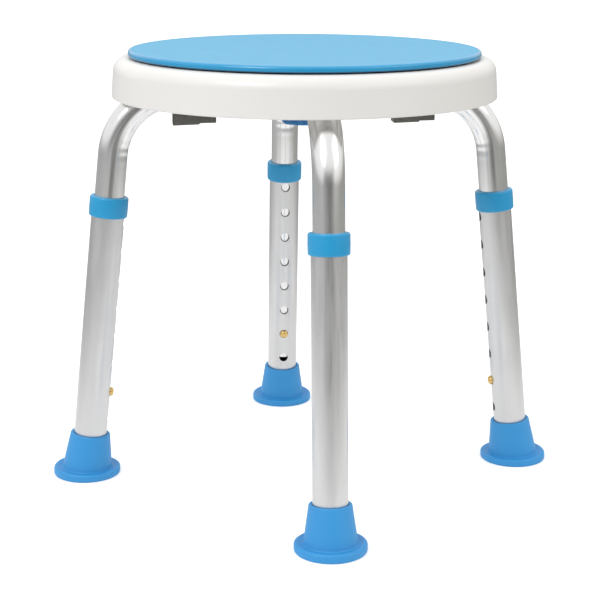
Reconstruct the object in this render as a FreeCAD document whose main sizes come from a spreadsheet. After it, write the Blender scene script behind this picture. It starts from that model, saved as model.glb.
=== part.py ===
import FreeCAD, Part
import math
import operator
import os
import Sketcher

# A bathing stool: a turning disc on a moulded seat shell, which stands on two bent tubes that cross
# under it. Each tube end telescopes in a leg with a rubber foot, and a sprung button locks its height.
# Millimetres and degrees. +Z is up, the origin is on the floor in the middle of the four feet, and the
# legs stand towards -Y (front), +X (right), +Y (rear) and -X (left).

SIZES = (
    ("foot_circle", 194.2, "circle that the leg axes meet the floor on, radius"),
    ("splay", 6, "outward lean of each leg, degrees"),
    ("arm_height", 338, "centre line of both arms above the floor"),
    ("bend_radius", 58, "centre line radius of each tube bend"),
    ("tube_radius", 12.7, "upper tube, outside"),
    ("tube_wall", 1.4, "upper tube wall"),
    ("press_width", 18.2, "pressed flat where the arms cross, half width"),
    ("press_depth", 5.5, "pressed flat, half depth"),
    ("press_gap", 0.1, "each pressed flat to the middle plane"),
    ("press_reach", 24, "pressed flat, half length"),
    ("round_reach", 56, "where the arm is round again"),
    ("slide_clearance", 0.1, "upper tube in the leg tube, radial"),
    ("leg_wall", 1.5, "leg tube wall"),
    ("first_hole", 51.1, "lowest hole, along the leg from the floor"),
    ("hole_pitch", 25.4, "hole to hole, one height step"),
    ("hole_radius", 4.3, "holes in the leg tube and for the button"),
    ("tail_length", 25.5, "upper tube below its button"),
    ("top_margin", 20.6, "leg tube above its highest hole"),
    ("bend_room", 36, "tube bend above the leg tube's end, least"),
    ("grip_clearance", 0.05, "collar or foot on the leg tube, radial"),
    ("collar_wall", 2.3, "collar wall"),
    ("collar_length", 17.5, "collar, along the leg"),
    ("collar_lip", 2, "collar beyond the leg tube's end"),
    ("sole_rim", 7, "flat base beyond the foot sleeve"),
    ("sole_height", 6.8, "flat base thickness"),
    ("sleeve_start", 3.5, "foot sleeve's lower end, inside the base"),
    ("sleeve_length", 34, "foot sleeve, along the leg"),
    ("sleeve_wall", 3, "foot sleeve's wall at its upper end"),
    ("sleeve_taper", 5, "foot sleeve, lower radius over upper radius"),
    ("foot_floor", 8, "rubber under the foot washer, along the leg"),
    ("tread_depth", 1.2, "rings in the sole"),
    ("tread_width", 1.8, "rings in the sole"),
    ("foot_washer", 1.6, "steel washer under the leg tube"),
    ("button_play", 0.35, "button in its holes, radial"),
    ("button_proud", 3, "button beyond the leg tube"),
    ("button_flange", 5.5, "button's flange"),
    ("flange_thick", 0.9, "button's flange"),
    ("clip_thick", 0.8, "spring strip"),
    ("clip_width", 8, "spring strip"),
    ("clip_length", 40, "spring strip, along the leg"),
    ("clip_tail", 9, "spring strip below the button"),
    ("seat_inset", 32.7, "seat's top edge inside the foot circle"),
    ("skirt_flare", 2.5, "seat wall, lower edge beyond the top"),
    ("skirt_depth", 32.6, "seat wall, top face to lower edge"),
    ("seat_wall", 3, "seat moulding wall"),
    ("seat_corner", 11, "rounding of the seat's top corner"),
    ("swivel_room", 14.4, "arms to the seat's plate"),
    ("rib_gap", 0.8, "arms to the seat's ribs"),
    ("rib_thick", 2.2, "seat ribs"),
    ("hub_rib", 22, "inner ring rib"),
    ("middle_rib", 57, "middle ring rib"),
    ("saddle_step", 3, "round end of the arm's flat to its saddle"),
    ("saddle_over", 2.5, "saddle past the start of the bend"),
    ("saddle_reach", 4, "saddle cheeks below the arm's centre line"),
    ("saddle_clearance", 0.2, "arm in its saddle, radial"),
    ("cheek_gap", 0.7, "arm to the saddle's cheeks"),
    ("boss_wall", 6, "centre boss round the bush"),
    ("boss_depth", 2.5, "centre boss below the plate"),
    ("bush_wall", 2, "swivel bush wall, with its running clearance"),
    ("bush_flange_width", 4, "swivel bush flange"),
    ("bush_flange_thick", 0.8, "swivel bush flange"),
    ("spigot_radius", 10, "disc's spigot in the bush"),
    ("running", 0.1, "running clearance"),
    ("disc_inset", 12, "turning disc inside the seat's top edge"),
    ("disc_thick", 5.3, "turning disc"),
    ("disc_gap", 1, "disc above the seat's top face"),
    ("disc_core", 1.5, "recess under the disc"),
    ("glide_inset", 27.5, "glide ring groove inside the disc's rim"),
    ("glide_width", 10, "glide ring groove"),
    ("glide_groove", 0.8, "glide ring groove depth"),
    ("washer_lap", 7, "washer that holds the disc down, beyond the spigot"),
    ("washer_thick", 1.5, "washers"),
    ("screw_radius", 2.5, "swivel screw"),
    ("screw_head", 5, "swivel screw's head radius"),
    ("screw_head_thick", 3.2, "swivel screw's head"),
    ("stud_radius", 4, "centre bolt and lever shanks"),
    ("bolt_head", 10.5, "centre bolt's domed head"),
    ("bolt_head_thick", 3.4, "centre bolt's domed head"),
    ("bolt_clear", 1.5, "centre bolt's end to the floor of the knob's insert"),
    ("clamp_washer", 12, "washer over the hand knob"),
    ("knob_radius", 19.3, "hand knob"),
    ("knob_height", 14.2, "hand knob"),
    ("knob_flute", 4, "finger grooves in the hand knob"),
    ("insert_radius", 7, "threaded insert in the hand knob"),
    ("insert_floor", 3.5, "hand knob below its insert"),
    ("lever_setback", 12, "lock lever's axis inside the start of the bend"),
    ("lever_skew", 12, "lock lever to its arm, degrees"),
    ("lever_length", 38, "lock lever's handle"),
    ("lever_width", 18, "lock lever's handle"),
    ("lever_thick", 8.5, "lock lever's handle"),
    ("lever_drop", 13.8, "lock lever's lower face under its arm"),
    ("neck_radius", 7, "lock lever's neck"),
    ("shank_clearance", 0.3, "lever shank or centre bolt in its holes"),
    ("socket_radius", 10, "lock socket under the seat"),
    ("head_reach", 7.3, "lock shank's cross head, half length"),
    ("head_width", 2, "lock shank's cross head, half width"),
    ("head_thick", 4, "lock shank's cross head"),
    ("socket_room", 0.4, "lock shank's head to its socket"),
    ("ledge", 6, "wall that the cross head turns behind"),
)
# Sizes that follow from the ones above, in the order that they are worked out.
FOLLOWING = (
    ("half_turn", "(90 - splay) / 2", "half of the tube bend's turn, degrees"),
    ("bend_tangent", "bend_radius * tan(half_turn)", "tube bend's ends to its corner"),
    ("arm_corner", "foot_circle - arm_height * tan(splay)", "where arm and leg axes cross"),
    ("bend_start", "arm_corner - bend_tangent", "straight arm's end from the middle"),
    ("bend_end", "arm_height / cos(splay) - bend_tangent", "bend's lower end, along the leg"),
    ("row_room", "bend_end - bend_room - top_margin - first_hole", "room for the row of holes"),
    ("hole_count", "floor(row_room / hole_pitch) + 1", "holes in each leg tube"),
    ("leg_bore", "tube_radius + slide_clearance", "leg tube, inside"),
    ("leg_outside", "leg_bore + leg_wall", "leg tube, outside"),
    ("sleeve_top", "leg_outside + sleeve_wall", "foot sleeve, upper radius"),
    ("sleeve_base", "sleeve_top + sleeve_taper", "foot sleeve, lower radius"),
    ("sole_radius", "sleeve_base + sole_rim", "flat base of the foot"),
    ("button_radius", "hole_radius - button_play", "button's round nose"),
    ("seat_under", "arm_height + tube_radius + swivel_room", "lower face of the seat's plate"),
    ("seat_top", "seat_under + seat_wall", "seat shell's top face"),
    ("seat_radius", "foot_circle - seat_inset", "seat wall at the top"),
    ("skirt_radius", "seat_radius + skirt_flare", "seat wall at its lower edge"),
    ("disc_radius", "seat_radius - disc_inset", "turning disc"),
    ("glide_outer", "disc_radius - glide_inset", "glide ring groove, outer radius"),
    ("glide_inner", "glide_outer - glide_width", "glide ring groove, inner radius"),
    ("rib_bottom", "arm_height + tube_radius + rib_gap", "lower edge of the seat's ribs"),
    ("outer_rib", "glide_inner + glide_width / 2", "outer ring rib"),
    ("saddle_start", "round_reach + saddle_step", "saddle over each arm, inner end"),
    ("saddle_end", "bend_start + saddle_over", "saddle over each arm, outer end"),
    ("saddle_bottom", "arm_height - saddle_reach", "lower edge of the saddle's cheeks"),
    ("bush_radius", "spigot_radius + bush_wall", "swivel bush, outside"),
    ("bush_flange", "bush_radius + bush_flange_width", "swivel bush flange"),
    ("boss_radius", "bush_radius + boss_wall", "centre boss under the seat"),
    ("swivel_washer", "spigot_radius + washer_lap", "washer that holds the disc down"),
    ("press_flat", "press_gap + 2 * press_depth", "far face of a pressed flat from the middle plane"),
    ("clamp_bottom", "arm_height - press_flat - press_gap - washer_thick", "clamp washer's lower face"),
    ("knob_top", "clamp_bottom - running", "hand knob's upper face"),
    ("knob_bottom", "knob_top - knob_height", "hand knob's lower face"),
    ("insert_bottom", "knob_bottom + insert_floor", "floor of the insert's pocket"),
    ("bolt_end", "insert_bottom + bolt_clear", "centre bolt's lower end"),
    ("lever_place", "bend_start - lever_setback", "lock lever's axis from the middle"),
    ("lever_bottom", "arm_height - tube_radius - lever_drop", "lock lever's lower face"),
)
LEGS = (("front", -90), ("right", 0), ("rear", 90), ("left", 180))
SIDES = (("right", 0), ("left", 180))
SIGNS = {"+": operator.add, "-": operator.sub, "*": operator.mul, "/": operator.truediv}
ORIGIN = -1
WIDTH_AXIS = -1
HEIGHT_AXIS = -2
NEAR = 0.02
SMALLEST_CUT = 0.5


class Size:
    """A number together with the spreadsheet formula that gives it, so that a sketch is drawn where its
    formula will hold it."""

    def __init__(self, number, formula):
        self.number = number
        self.formula = formula

    def __add__(self, other):
        return combine(self, "+", other)

    def __radd__(self, other):
        return combine(other, "+", self)

    def __sub__(self, other):
        return combine(self, "-", other)

    def __rsub__(self, other):
        return combine(other, "-", self)

    def __mul__(self, other):
        return combine(self, "*", other)

    def __rmul__(self, other):
        return combine(other, "*", self)

    def __truediv__(self, other):
        return combine(self, "/", other)

    def __neg__(self):
        return combine(0, "-", self)


def as_size(value):
    return value if isinstance(value, Size) else Size(value, str(value))


def combine(left, sign, right):
    left, right = as_size(left), as_size(right)
    number = SIGNS[sign](left.number, right.number)
    return Size(number, f"({left.formula} {sign} {right.formula})")


def sine(angle):
    return Size(math.sin(math.radians(angle.number)), f"sin({angle.formula})")


def cosine(angle):
    return Size(math.cos(math.radians(angle.number)), f"cos({angle.formula})")


class Sheet:
    """The driving sizes, by name."""


def fill_sheet():
    sheet = doc.addObject("Spreadsheet::Sheet", "Sizes")
    rows = SIZES + tuple((alias, f"={formula}", meaning) for alias, formula, meaning in FOLLOWING)
    for row, (alias, content, meaning) in enumerate(rows, start=1):
        sheet.set(f"A{row}", meaning)
        sheet.set(f"B{row}", str(content))
        sheet.setAlias(f"B{row}", alias)
    doc.recompute()
    sizes = Sheet()
    for alias, content, meaning in rows:
        setattr(sizes, alias, Size(float(sheet.get(alias)), f"Sizes.{alias}"))
    return sizes


def bind(thing, path, size):
    thing.setExpression(path, as_size(size).formula)


def place(thing, x=0, y=0, z=0, yaw=0, pitch=0, roll=0, path="Placement"):
    """Binds a place and its turns about Z, then Y, then X."""
    x, y, z, yaw, pitch, roll = (as_size(v).formula for v in (x, y, z, yaw, pitch, roll))
    turned = f"rotation({yaw}; {pitch}; {roll})"
    thing.setExpression(path, f"placement(vector({x}; {y}; {z}); {turned})")


def new_body(label):
    body = doc.addObject("PartDesign::Body", label)
    body.Label = label
    pieces.append(body)
    return body


def datum(body, role):
    return next(item for item in body.Origin.OriginFeatures if item.Role == role)


def new_sketch(body, role, name, offset=0, turn=0):
    """A sketch on one of the body's own planes, moved along its normal and turned in itself."""
    sketch = body.newObject("Sketcher::SketchObject", f"{body.Name}_{name}")
    sketch.AttachmentSupport = [(datum(body, role), "")]
    sketch.MapMode = "FlatFace"
    place(sketch, z=offset, yaw=turn, path="AttachmentOffset")
    return sketch


def pin_point(sketch, edge, end, x, y):
    """Holds one point of an edge at x, y from the sketch's origin."""
    for kind, axis, value in (("DistanceX", HEIGHT_AXIS, x), ("DistanceY", WIDTH_AXIS, y)):
        value = as_size(value)
        if value.formula == "0":
            sketch.addConstraint(Sketcher.Constraint("PointOnObject", edge, end, axis))
        else:
            held = Sketcher.Constraint(kind, ORIGIN, 1, edge, end, value.number)
            bind(sketch, f"Constraints[{sketch.addConstraint(held)}]", value)


def outline(sketch, points):
    """A closed outline of straight edges, each corner held by its own two sizes."""
    first = sketch.GeometryCount
    spots = [FreeCAD.Vector(as_size(x).number, as_size(y).number, 0) for x, y in points]
    for number, spot in enumerate(spots):
        sketch.addGeometry(Part.LineSegment(spot, spots[(number + 1) % len(spots)]))
    for number, (x, y) in enumerate(points):
        following = first + (number + 1) % len(spots)
        sketch.addConstraint(Sketcher.Constraint("Coincident", first + number, 2, following, 1))
        pin_point(sketch, first + number, 1, x, y)


def oblong(sketch, left, right, bottom, top):
    outline(sketch, [(left, bottom), (right, bottom), (right, top), (left, top)])


def circle(sketch, radius, x=0, y=0):
    centre = FreeCAD.Vector(as_size(x).number, as_size(y).number, 0)
    round_edge = Part.Circle(centre, FreeCAD.Vector(0, 0, 1), radius.number)
    edge = sketch.addGeometry(round_edge)
    pin_point(sketch, edge, 3, x, y)
    held = Sketcher.Constraint("Radius", edge, radius.number)
    bind(sketch, f"Constraints[{sketch.addConstraint(held)}]", radius)


def finish_feature(body, feature, cuts, before):
    """Recomputes, and stops if a cutting feature removes nothing."""
    doc.recompute()
    if cuts and before - feature.Shape.Volume < SMALLEST_CUT:
        raise RuntimeError(f"{feature.Name} removes nothing from {body.Label}")
    return feature


def volume_so_far(body):
    return body.Tip.Shape.Volume if body.Tip else 0


def extrude(body, sketch, name, length, cut=False, back=False, middle=False):
    before = volume_so_far(body)
    kind = "PartDesign::Pocket" if cut else "PartDesign::Pad"
    feature = body.newObject(kind, f"{body.Name}_{name}")
    feature.Profile = sketch
    feature.Reversed = back
    feature.SideType = "Symmetric" if middle else "One side"
    bind(feature, "Length", length)
    return finish_feature(body, feature, cut, before)


def revolve(body, sketch, name, cut=False):
    before = volume_so_far(body)
    kind = "PartDesign::Groove" if cut else "PartDesign::Revolution"
    feature = body.newObject(kind, f"{body.Name}_{name}")
    feature.Profile = sketch
    feature.ReferenceAxis = (sketch, ["V_Axis"])
    feature.Angle = 360
    return finish_feature(body, feature, cut, before)


def repeat_round(body, features, name, count, cut=False):
    before = volume_so_far(body)
    pattern = body.newObject("PartDesign::PolarPattern", f"{body.Name}_{name}")
    pattern.Originals = features
    pattern.Axis = (datum(body, "Z_Axis"), [""])
    pattern.Angle = 360
    pattern.Occurrences = count
    body.Tip = pattern
    return finish_feature(body, pattern, cut, before)


def repeat_along(body, features, name, count, pitch, cut=False):
    before = volume_so_far(body)
    pattern = body.newObject("PartDesign::LinearPattern", f"{body.Name}_{name}")
    pattern.Originals = features
    pattern.Direction = (datum(body, "Z_Axis"), [""])
    bind(pattern, "Length", (count - 1) * pitch)
    bind(pattern, "Occurrences", count)
    body.Tip = pattern
    return finish_feature(body, pattern, cut, before)


def round_off(body, name, radius, wanted):
    """Rounds the edges of the tip that wanted(edge) picks."""
    base = body.Tip
    edges = enumerate(base.Shape.Edges, start=1)
    picked = [f"Edge{number}" for number, edge in edges if wanted(edge)]
    if not picked:
        raise RuntimeError(f"{name} finds no edge on {body.Label}")
    feature = body.newObject("PartDesign::Fillet", f"{body.Name}_{name}")
    feature.Base = (base, picked)
    bind(feature, "Radius", radius)
    doc.recompute()
    return feature


def ring(radius, height):
    """Picks the full circles of a radius whose centre is at a height."""
    radius, height = as_size(radius).number, as_size(height).number

    def wanted(edge):
        curve = edge.Curve
        if not isinstance(curve, Part.Circle):
            return False
        return abs(curve.Radius - radius) < NEAR and abs(curve.Center.z - height) < NEAR

    return wanted


def level(height):
    """Picks the edges that lie flat at a height."""
    height = as_size(height).number

    def wanted(edge):
        box = edge.BoundBox
        return abs(box.ZMin - height) < NEAR and abs(box.ZMax - height) < NEAR

    return wanted


def upright(edge):
    """Picks the straight edges that stand along Z."""
    return isinstance(edge.Curve, Part.Line) and abs(edge.Curve.Direction.z) > 1 - NEAR


def either(*picks):
    return lambda edge: any(wanted(edge) for wanted in picks)


def stand_as_leg(body, turn):
    """Puts a body made along its own Z on the axis of the leg at that turn."""
    x = cosine(as_size(turn)) * size.foot_circle
    y = sine(as_size(turn)) * size.foot_circle
    place(body, x, y, 0, turn, -size.splay)


def washer(label, outer, inner, bottom, thick):
    body = new_body(label)
    sketch = new_sketch(body, "XZ_Plane", "section")
    oblong(sketch, inner, outer, bottom, bottom + thick)
    revolve(body, sketch, "ring")
    return body


# Seat and swivel


def make_seat_shell():
    """The white moulding: plate, wall, ribs, a saddle over each arm and two lock sockets."""
    body = new_body("seat_shell")
    under = size.seat_under
    skirt = size.seat_top - size.skirt_depth
    draft = (size.skirt_radius - size.seat_radius) / size.skirt_depth
    inner_top = size.seat_radius + draft * size.seat_wall - size.seat_wall
    inner_bottom = size.skirt_radius - size.seat_wall
    boss = under - size.boss_depth
    groove = size.seat_top - size.glide_groove

    shell = new_sketch(body, "XZ_Plane", "shell")
    outline(
        shell,
        [
            (size.bush_radius, boss),
            (size.boss_radius, boss),
            (size.boss_radius, under),
            (inner_top, under),
            (inner_bottom, skirt),
            (size.skirt_radius, skirt),
            (size.seat_radius, size.seat_top),
            (size.glide_outer, size.seat_top),
            (size.glide_outer, groove),
            (size.glide_inner, groove),
            (size.glide_inner, size.seat_top),
            (size.bush_radius, size.seat_top),
        ],
    )
    revolve(body, shell, "shell_turned")
    round_off(body, "inner_corner", size.seat_corner - size.seat_wall, ring(inner_top, under))
    round_off(body, "outer_corner", size.seat_corner, ring(size.seat_radius, size.seat_top))
    lower_edges = either(ring(inner_bottom, skirt), ring(size.skirt_radius, skirt))
    round_off(body, "lower_edge", size.seat_wall / 3, lower_edges)
    add_ribs(body, under, inner_bottom)
    add_saddles(body, under)
    add_lock_sockets(body, under)


def add_ribs(body, under, wall):
    """Three rings and sixteen spokes. They reach a little way into the plate and the wall."""
    root = under + size.seat_wall / 4
    rings = new_sketch(body, "XZ_Plane", "ring_ribs")
    for start in (size.hub_rib, size.middle_rib, size.outer_rib):
        oblong(rings, start, start + size.rib_thick, size.rib_bottom, root)
    revolve(body, rings, "ring_ribs_turned")
    spoke = new_sketch(body, "XZ_Plane", "spoke")
    corner = size.seat_top - size.seat_corner
    draft = (size.skirt_radius - size.seat_radius) / size.skirt_depth
    centre = size.seat_radius - size.seat_corner + draft * size.seat_corner
    middle = size.seat_corner - size.seat_wall / 2
    start = size.hub_rib + size.rib_thick / 2
    points = [(start, size.rib_bottom), (wall - size.seat_wall / 4, size.rib_bottom)]
    for angle in (0, 30, 60):
        out = centre + middle * cosine(as_size(angle))
        points.append((out, corner + middle * sine(as_size(angle))))
    points.append((start, corner + middle * sine(as_size(60))))
    outline(spoke, points)
    spoke_rib = extrude(body, spoke, "spoke_rib", size.rib_thick, middle=True)
    repeat_round(body, [spoke_rib], "spokes", 16)


def add_saddles(body, under):
    """Each arm lies in a channel between two cheeks, under two cross walls cut to the tube."""
    root = under + size.seat_wall / 4
    inside = size.tube_radius + size.cheek_gap
    outside = inside + size.seat_wall
    end = size.saddle_end
    cheeks = new_sketch(body, "XY_Plane", "cheeks", offset=root)
    oblong(cheeks, size.saddle_start, end, inside, outside)
    oblong(cheeks, size.saddle_start, end, -outside, -inside)
    cheek_walls = extrude(body, cheeks, "cheek_walls", root - size.saddle_bottom, back=True)
    walls = new_sketch(body, "XY_Plane", "cross_walls", offset=root)
    for start in (size.saddle_start, end - size.seat_wall):
        oblong(walls, start, start + size.seat_wall, -outside, outside)
    cross_walls = extrude(body, walls, "cross_walls_down", root - size.saddle_bottom, back=True)
    repeat_round(body, [cheek_walls, cross_walls], "saddles", 4)
    channel = new_sketch(body, "YZ_Plane", "channel", offset=size.saddle_start - size.seat_wall)
    bore = size.tube_radius + size.saddle_clearance
    circle(channel, bore, 0, size.arm_height)
    mouth = new_sketch(body, "YZ_Plane", "channel_mouth", offset=size.saddle_start - size.seat_wall)
    oblong(mouth, -bore, bore, size.saddle_bottom - size.seat_wall, size.arm_height)
    length = end - size.saddle_start + 2 * size.seat_wall
    round_cut = extrude(body, channel, "channel_cut", length, cut=True, back=True)
    mouth_cut = extrude(body, mouth, "mouth_cut", length, cut=True, back=True)
    repeat_round(body, [round_cut, mouth_cut], "channels", 4, cut=True)


def add_lock_sockets(body, under):
    """Over the left and right arms: a socket whose cross slot lets the lock shank's head in."""
    root = under + size.seat_wall / 4
    mouth = size.arm_height + size.tube_radius + size.saddle_clearance
    ledge_top = mouth + size.ledge
    chamber = size.head_reach + size.socket_room
    chamber_depth = size.head_thick + 2 * size.socket_room
    boss = new_sketch(body, "XY_Plane", "socket_boss", offset=root)
    circle(boss, size.socket_radius, size.lever_place)
    boss_pad = extrude(body, boss, "socket_boss_pad", root - mouth, back=True)
    repeat_round(body, [boss_pad], "socket_bosses", 2)
    room = new_sketch(body, "XY_Plane", "socket_room", offset=ledge_top)
    circle(room, chamber, size.lever_place)
    room_cut = extrude(body, room, "socket_room_cut", chamber_depth, cut=True, back=True)
    entry = new_sketch(body, "XY_Plane", "socket_entry", offset=size.arm_height)
    circle(entry, size.stud_radius + size.shank_clearance, size.lever_place)
    entry_depth = ledge_top - size.arm_height
    entry_cut = extrude(body, entry, "socket_entry_cut", entry_depth, cut=True, back=True)
    slot = new_sketch(body, "XY_Plane", "socket_slot", offset=mouth)
    outline(slot, cross_slot(chamber, size.head_width + size.socket_room))
    slot_cut = extrude(body, slot, "socket_slot_cut", size.ledge, cut=True, back=True)
    repeat_round(body, [room_cut, entry_cut, slot_cut], "sockets", 2, cut=True)


def cross_slot(reach, half_width):
    """Corners of the slot that the lock head passes when its lever has turned a quarter."""
    across = size.lever_skew + 90
    corners = []
    for along, side in ((-1, -1), (1, -1), (1, 1), (-1, 1)):
        x = size.lever_place + along * reach * cosine(across) - side * half_width * sine(across)
        y = along * reach * sine(across) + side * half_width * cosine(across)
        corners.append((x, y))
    return corners


def make_swivel():
    """The disc turns on its spigot in a flanged bush, and slides on a ring near its rim."""
    disc_bottom = size.seat_top + size.disc_gap
    disc_top = disc_bottom + size.disc_thick
    boss = size.seat_under - size.boss_depth
    spigot_end = boss - size.running
    washer_bottom = spigot_end - size.running - size.washer_thick
    bore_top = disc_bottom + size.disc_thick / 2
    core = disc_bottom + size.disc_core
    core_inner = size.bush_flange * 2
    core_outer = size.glide_inner - size.bush_flange / 2

    disc = new_body("turntable_disc")
    section = new_sketch(disc, "XZ_Plane", "section")
    outline(
        section,
        [
            (0, bore_top),
            (size.screw_radius, bore_top),
            (size.screw_radius, spigot_end),
            (size.spigot_radius, spigot_end),
            (size.spigot_radius, disc_bottom),
            (core_inner, disc_bottom),
            (core_inner, core),
            (core_outer, core),
            (core_outer, disc_bottom),
            (size.disc_radius, disc_bottom),
            (size.disc_radius, disc_top),
            (0, disc_top),
        ],
    )
    revolve(disc, section, "turned")
    round_off(disc, "upper_rim", size.disc_thick * 0.45, ring(size.disc_radius, disc_top))
    round_off(disc, "lower_rim", size.disc_thick * 0.3, ring(size.disc_radius, disc_bottom))

    bush = new_body("swivel_bush")
    section = new_sketch(bush, "XZ_Plane", "section")
    bush_bore = size.spigot_radius + size.running
    flange_bottom = size.seat_top + size.running / 5
    flange_top = flange_bottom + size.bush_flange_thick
    bush_outside = size.bush_radius - size.running / 5
    outline(
        section,
        [
            (bush_bore, boss),
            (bush_outside, boss),
            (bush_outside, flange_bottom),
            (size.bush_flange, flange_bottom),
            (size.bush_flange, flange_top),
            (bush_bore, flange_top),
        ],
    )
    revolve(bush, section, "turned")

    glide_bottom = size.seat_top - size.glide_groove
    glide_thick = size.glide_groove + size.disc_gap - size.running
    inner = size.glide_inner + size.running
    washer("glide_ring", size.glide_outer - size.running, inner, glide_bottom, glide_thick)
    shank = size.screw_radius - size.running / 2
    hole = size.screw_radius + size.running
    washer("swivel_washer", size.swivel_washer, hole, washer_bottom, size.washer_thick)

    screw = new_body("swivel_screw")
    section = new_sketch(screw, "XZ_Plane", "section")
    head_top = washer_bottom - size.running / 5
    head_bottom = head_top - size.screw_head_thick
    shank_top = bore_top - size.screw_radius
    outline(
        section,
        [
            (0, head_bottom),
            (size.screw_head, head_bottom),
            (size.screw_head, head_top),
            (shank, head_top),
            (shank, shank_top),
            (0, shank_top),
        ],
    )
    revolve(screw, section, "turned")
    round_off(screw, "head_edge", size.screw_head_thick / 2, ring(size.screw_head, head_bottom))
    cross = new_sketch(screw, "XY_Plane", "cross_recess", offset=head_bottom)
    arm, half = size.screw_head / 2, size.screw_head / 10
    oblong(cross, -arm, arm, -half, half)
    extrude(screw, cross, "recess", size.screw_head_thick / 2, cut=True, back=True)
    cross = new_sketch(screw, "XY_Plane", "cross_recess_over", offset=head_bottom)
    oblong(cross, -half, half, -arm, arm)
    extrude(screw, cross, "recess_over", size.screw_head_thick / 2, cut=True, back=True)


# Crossing tubes


def leg_point(along):
    """Place, in the radial plane, of a point of the leg axis at a length up from the floor."""
    return size.foot_circle - along * sine(size.splay), along * cosine(size.splay)


def tube_run(name, radius, side):
    """One half of an arch as a plain rod: arm, bend and upright, towards +X or -X."""
    tube_end = size.first_hole + size.hole_pitch - size.tail_length
    yaw = 0 if side > 0 else 180

    arm = doc.addObject("Part::Cylinder", f"{name}_arm")
    bind(arm, "Radius", radius)
    bind(arm, "Height", size.bend_start - size.round_reach)
    place(arm, side * size.round_reach, 0, size.arm_height, yaw, 90)

    bend = doc.addObject("Part::Torus", f"{name}_bend")
    bind(bend, "Radius1", size.bend_radius)
    bind(bend, "Radius2", radius)
    bind(bend, "Angle3", 90 - size.splay)
    place(bend, side * size.bend_start, 0, size.arm_height - size.bend_radius, yaw, -size.splay, 90)

    upright_rod = doc.addObject("Part::Cylinder", f"{name}_upright")
    bind(upright_rod, "Radius", radius)
    bind(upright_rod, "Height", size.bend_end - tube_end)
    out, up = leg_point(tube_end)
    place(upright_rod, side * out, 0, up, yaw, -size.splay)
    return [arm, bend, upright_rod]


def pressed_middle(name, inset, press):
    """The crossing: the round arm runs into an oval pressed up or down to half its height."""
    middle = size.arm_height + press * (size.press_gap + size.press_depth)
    sections = []
    for place_along, round_tube in ((-1, True), (-1, False), (1, False), (1, True)):
        kind = "Part::Circle" if round_tube else "Part::Ellipse"
        section = doc.addObject(kind, f"{name}_section{len(sections)}")
        if round_tube:
            bind(section, "Radius", size.tube_radius - inset)
            place(section, place_along * size.round_reach, 0, size.arm_height, 90, 0, 90)
        else:
            bind(section, "MajorRadius", size.press_width - inset)
            bind(section, "MinorRadius", size.press_depth - inset)
            place(section, place_along * size.press_reach, 0, middle, 90, 0, 90)
        sections.append(section)
    loft = doc.addObject("Part::Loft", f"{name}_crossing")
    loft.Sections = sections
    loft.Solid = True
    loft.Ruled = True
    return loft


def peg(name, radius, length, x, z, yaw=0, pitch=0):
    """A rod that cuts a round hole."""
    rod = doc.addObject("Part::Cylinder", name)
    bind(rod, "Radius", radius)
    bind(rod, "Height", length)
    place(rod, x, 0, z, yaw, pitch)
    return rod


def make_arch(label, turn, press, lever_holes):
    """A tube bent into an arch: two legs' upper ends and the two arms between them."""
    solids = [pressed_middle(f"{label}_outer", 0, press)]
    hollows = [pressed_middle(f"{label}_inner", size.tube_wall, press)]
    for side, yaw, tag in ((1, 0, "plus"), (-1, 180, "minus")):
        solids += tube_run(f"{label}_{tag}_outer", size.tube_radius, side)
        hollows += tube_run(f"{label}_{tag}_inner", size.tube_radius - size.tube_wall, side)
        out, up = leg_point(size.first_hole + size.hole_pitch)
        reach = 2 * size.tube_radius
        hollows.append(
            peg(f"{label}_{tag}_hole", size.hole_radius, reach, side * out, up, yaw, -90 - size.splay)
        )
        if lever_holes:
            radius = size.stud_radius + size.shank_clearance
            bottom = size.arm_height - 2 * size.tube_radius
            hole = f"{label}_{tag}_lock_hole"
            hollows.append(peg(hole, radius, 4 * size.tube_radius, side * size.lever_place, bottom))
    middle_hole = size.stud_radius + size.shank_clearance
    bottom = size.arm_height - 2 * size.tube_radius
    hollows.append(peg(f"{label}_middle_hole", middle_hole, 4 * size.tube_radius, 0, bottom))
    rods = doc.addObject("Part::MultiFuse", f"{label}_rods")
    rods.Shapes = solids
    bores = doc.addObject("Part::MultiFuse", f"{label}_bores")
    bores.Shapes = hollows
    arch = doc.addObject("Part::Cut", label)
    arch.Base = rods
    arch.Tool = bores
    arch.Label = label
    place(arch, yaw=turn)
    doc.recompute()
    pieces.append(arch)


# Centre bolt and hand knob


def make_centre_bolt():
    head_bottom = size.arm_height + size.press_flat + size.press_gap
    head_top = head_bottom + size.bolt_head_thick
    body = new_body("centre_bolt")
    section = new_sketch(body, "XZ_Plane", "section")
    outline(
        section,
        [
            (0, size.bolt_end),
            (size.stud_radius, size.bolt_end),
            (size.stud_radius, head_bottom),
            (size.bolt_head, head_bottom),
            (size.bolt_head, head_top),
            (0, head_top),
        ],
    )
    revolve(body, section, "turned")
    round_off(body, "dome", size.bolt_head_thick * 0.9, ring(size.bolt_head, head_top))
    round_off(body, "tip", size.stud_radius / 4, ring(size.stud_radius, size.bolt_end))


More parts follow.
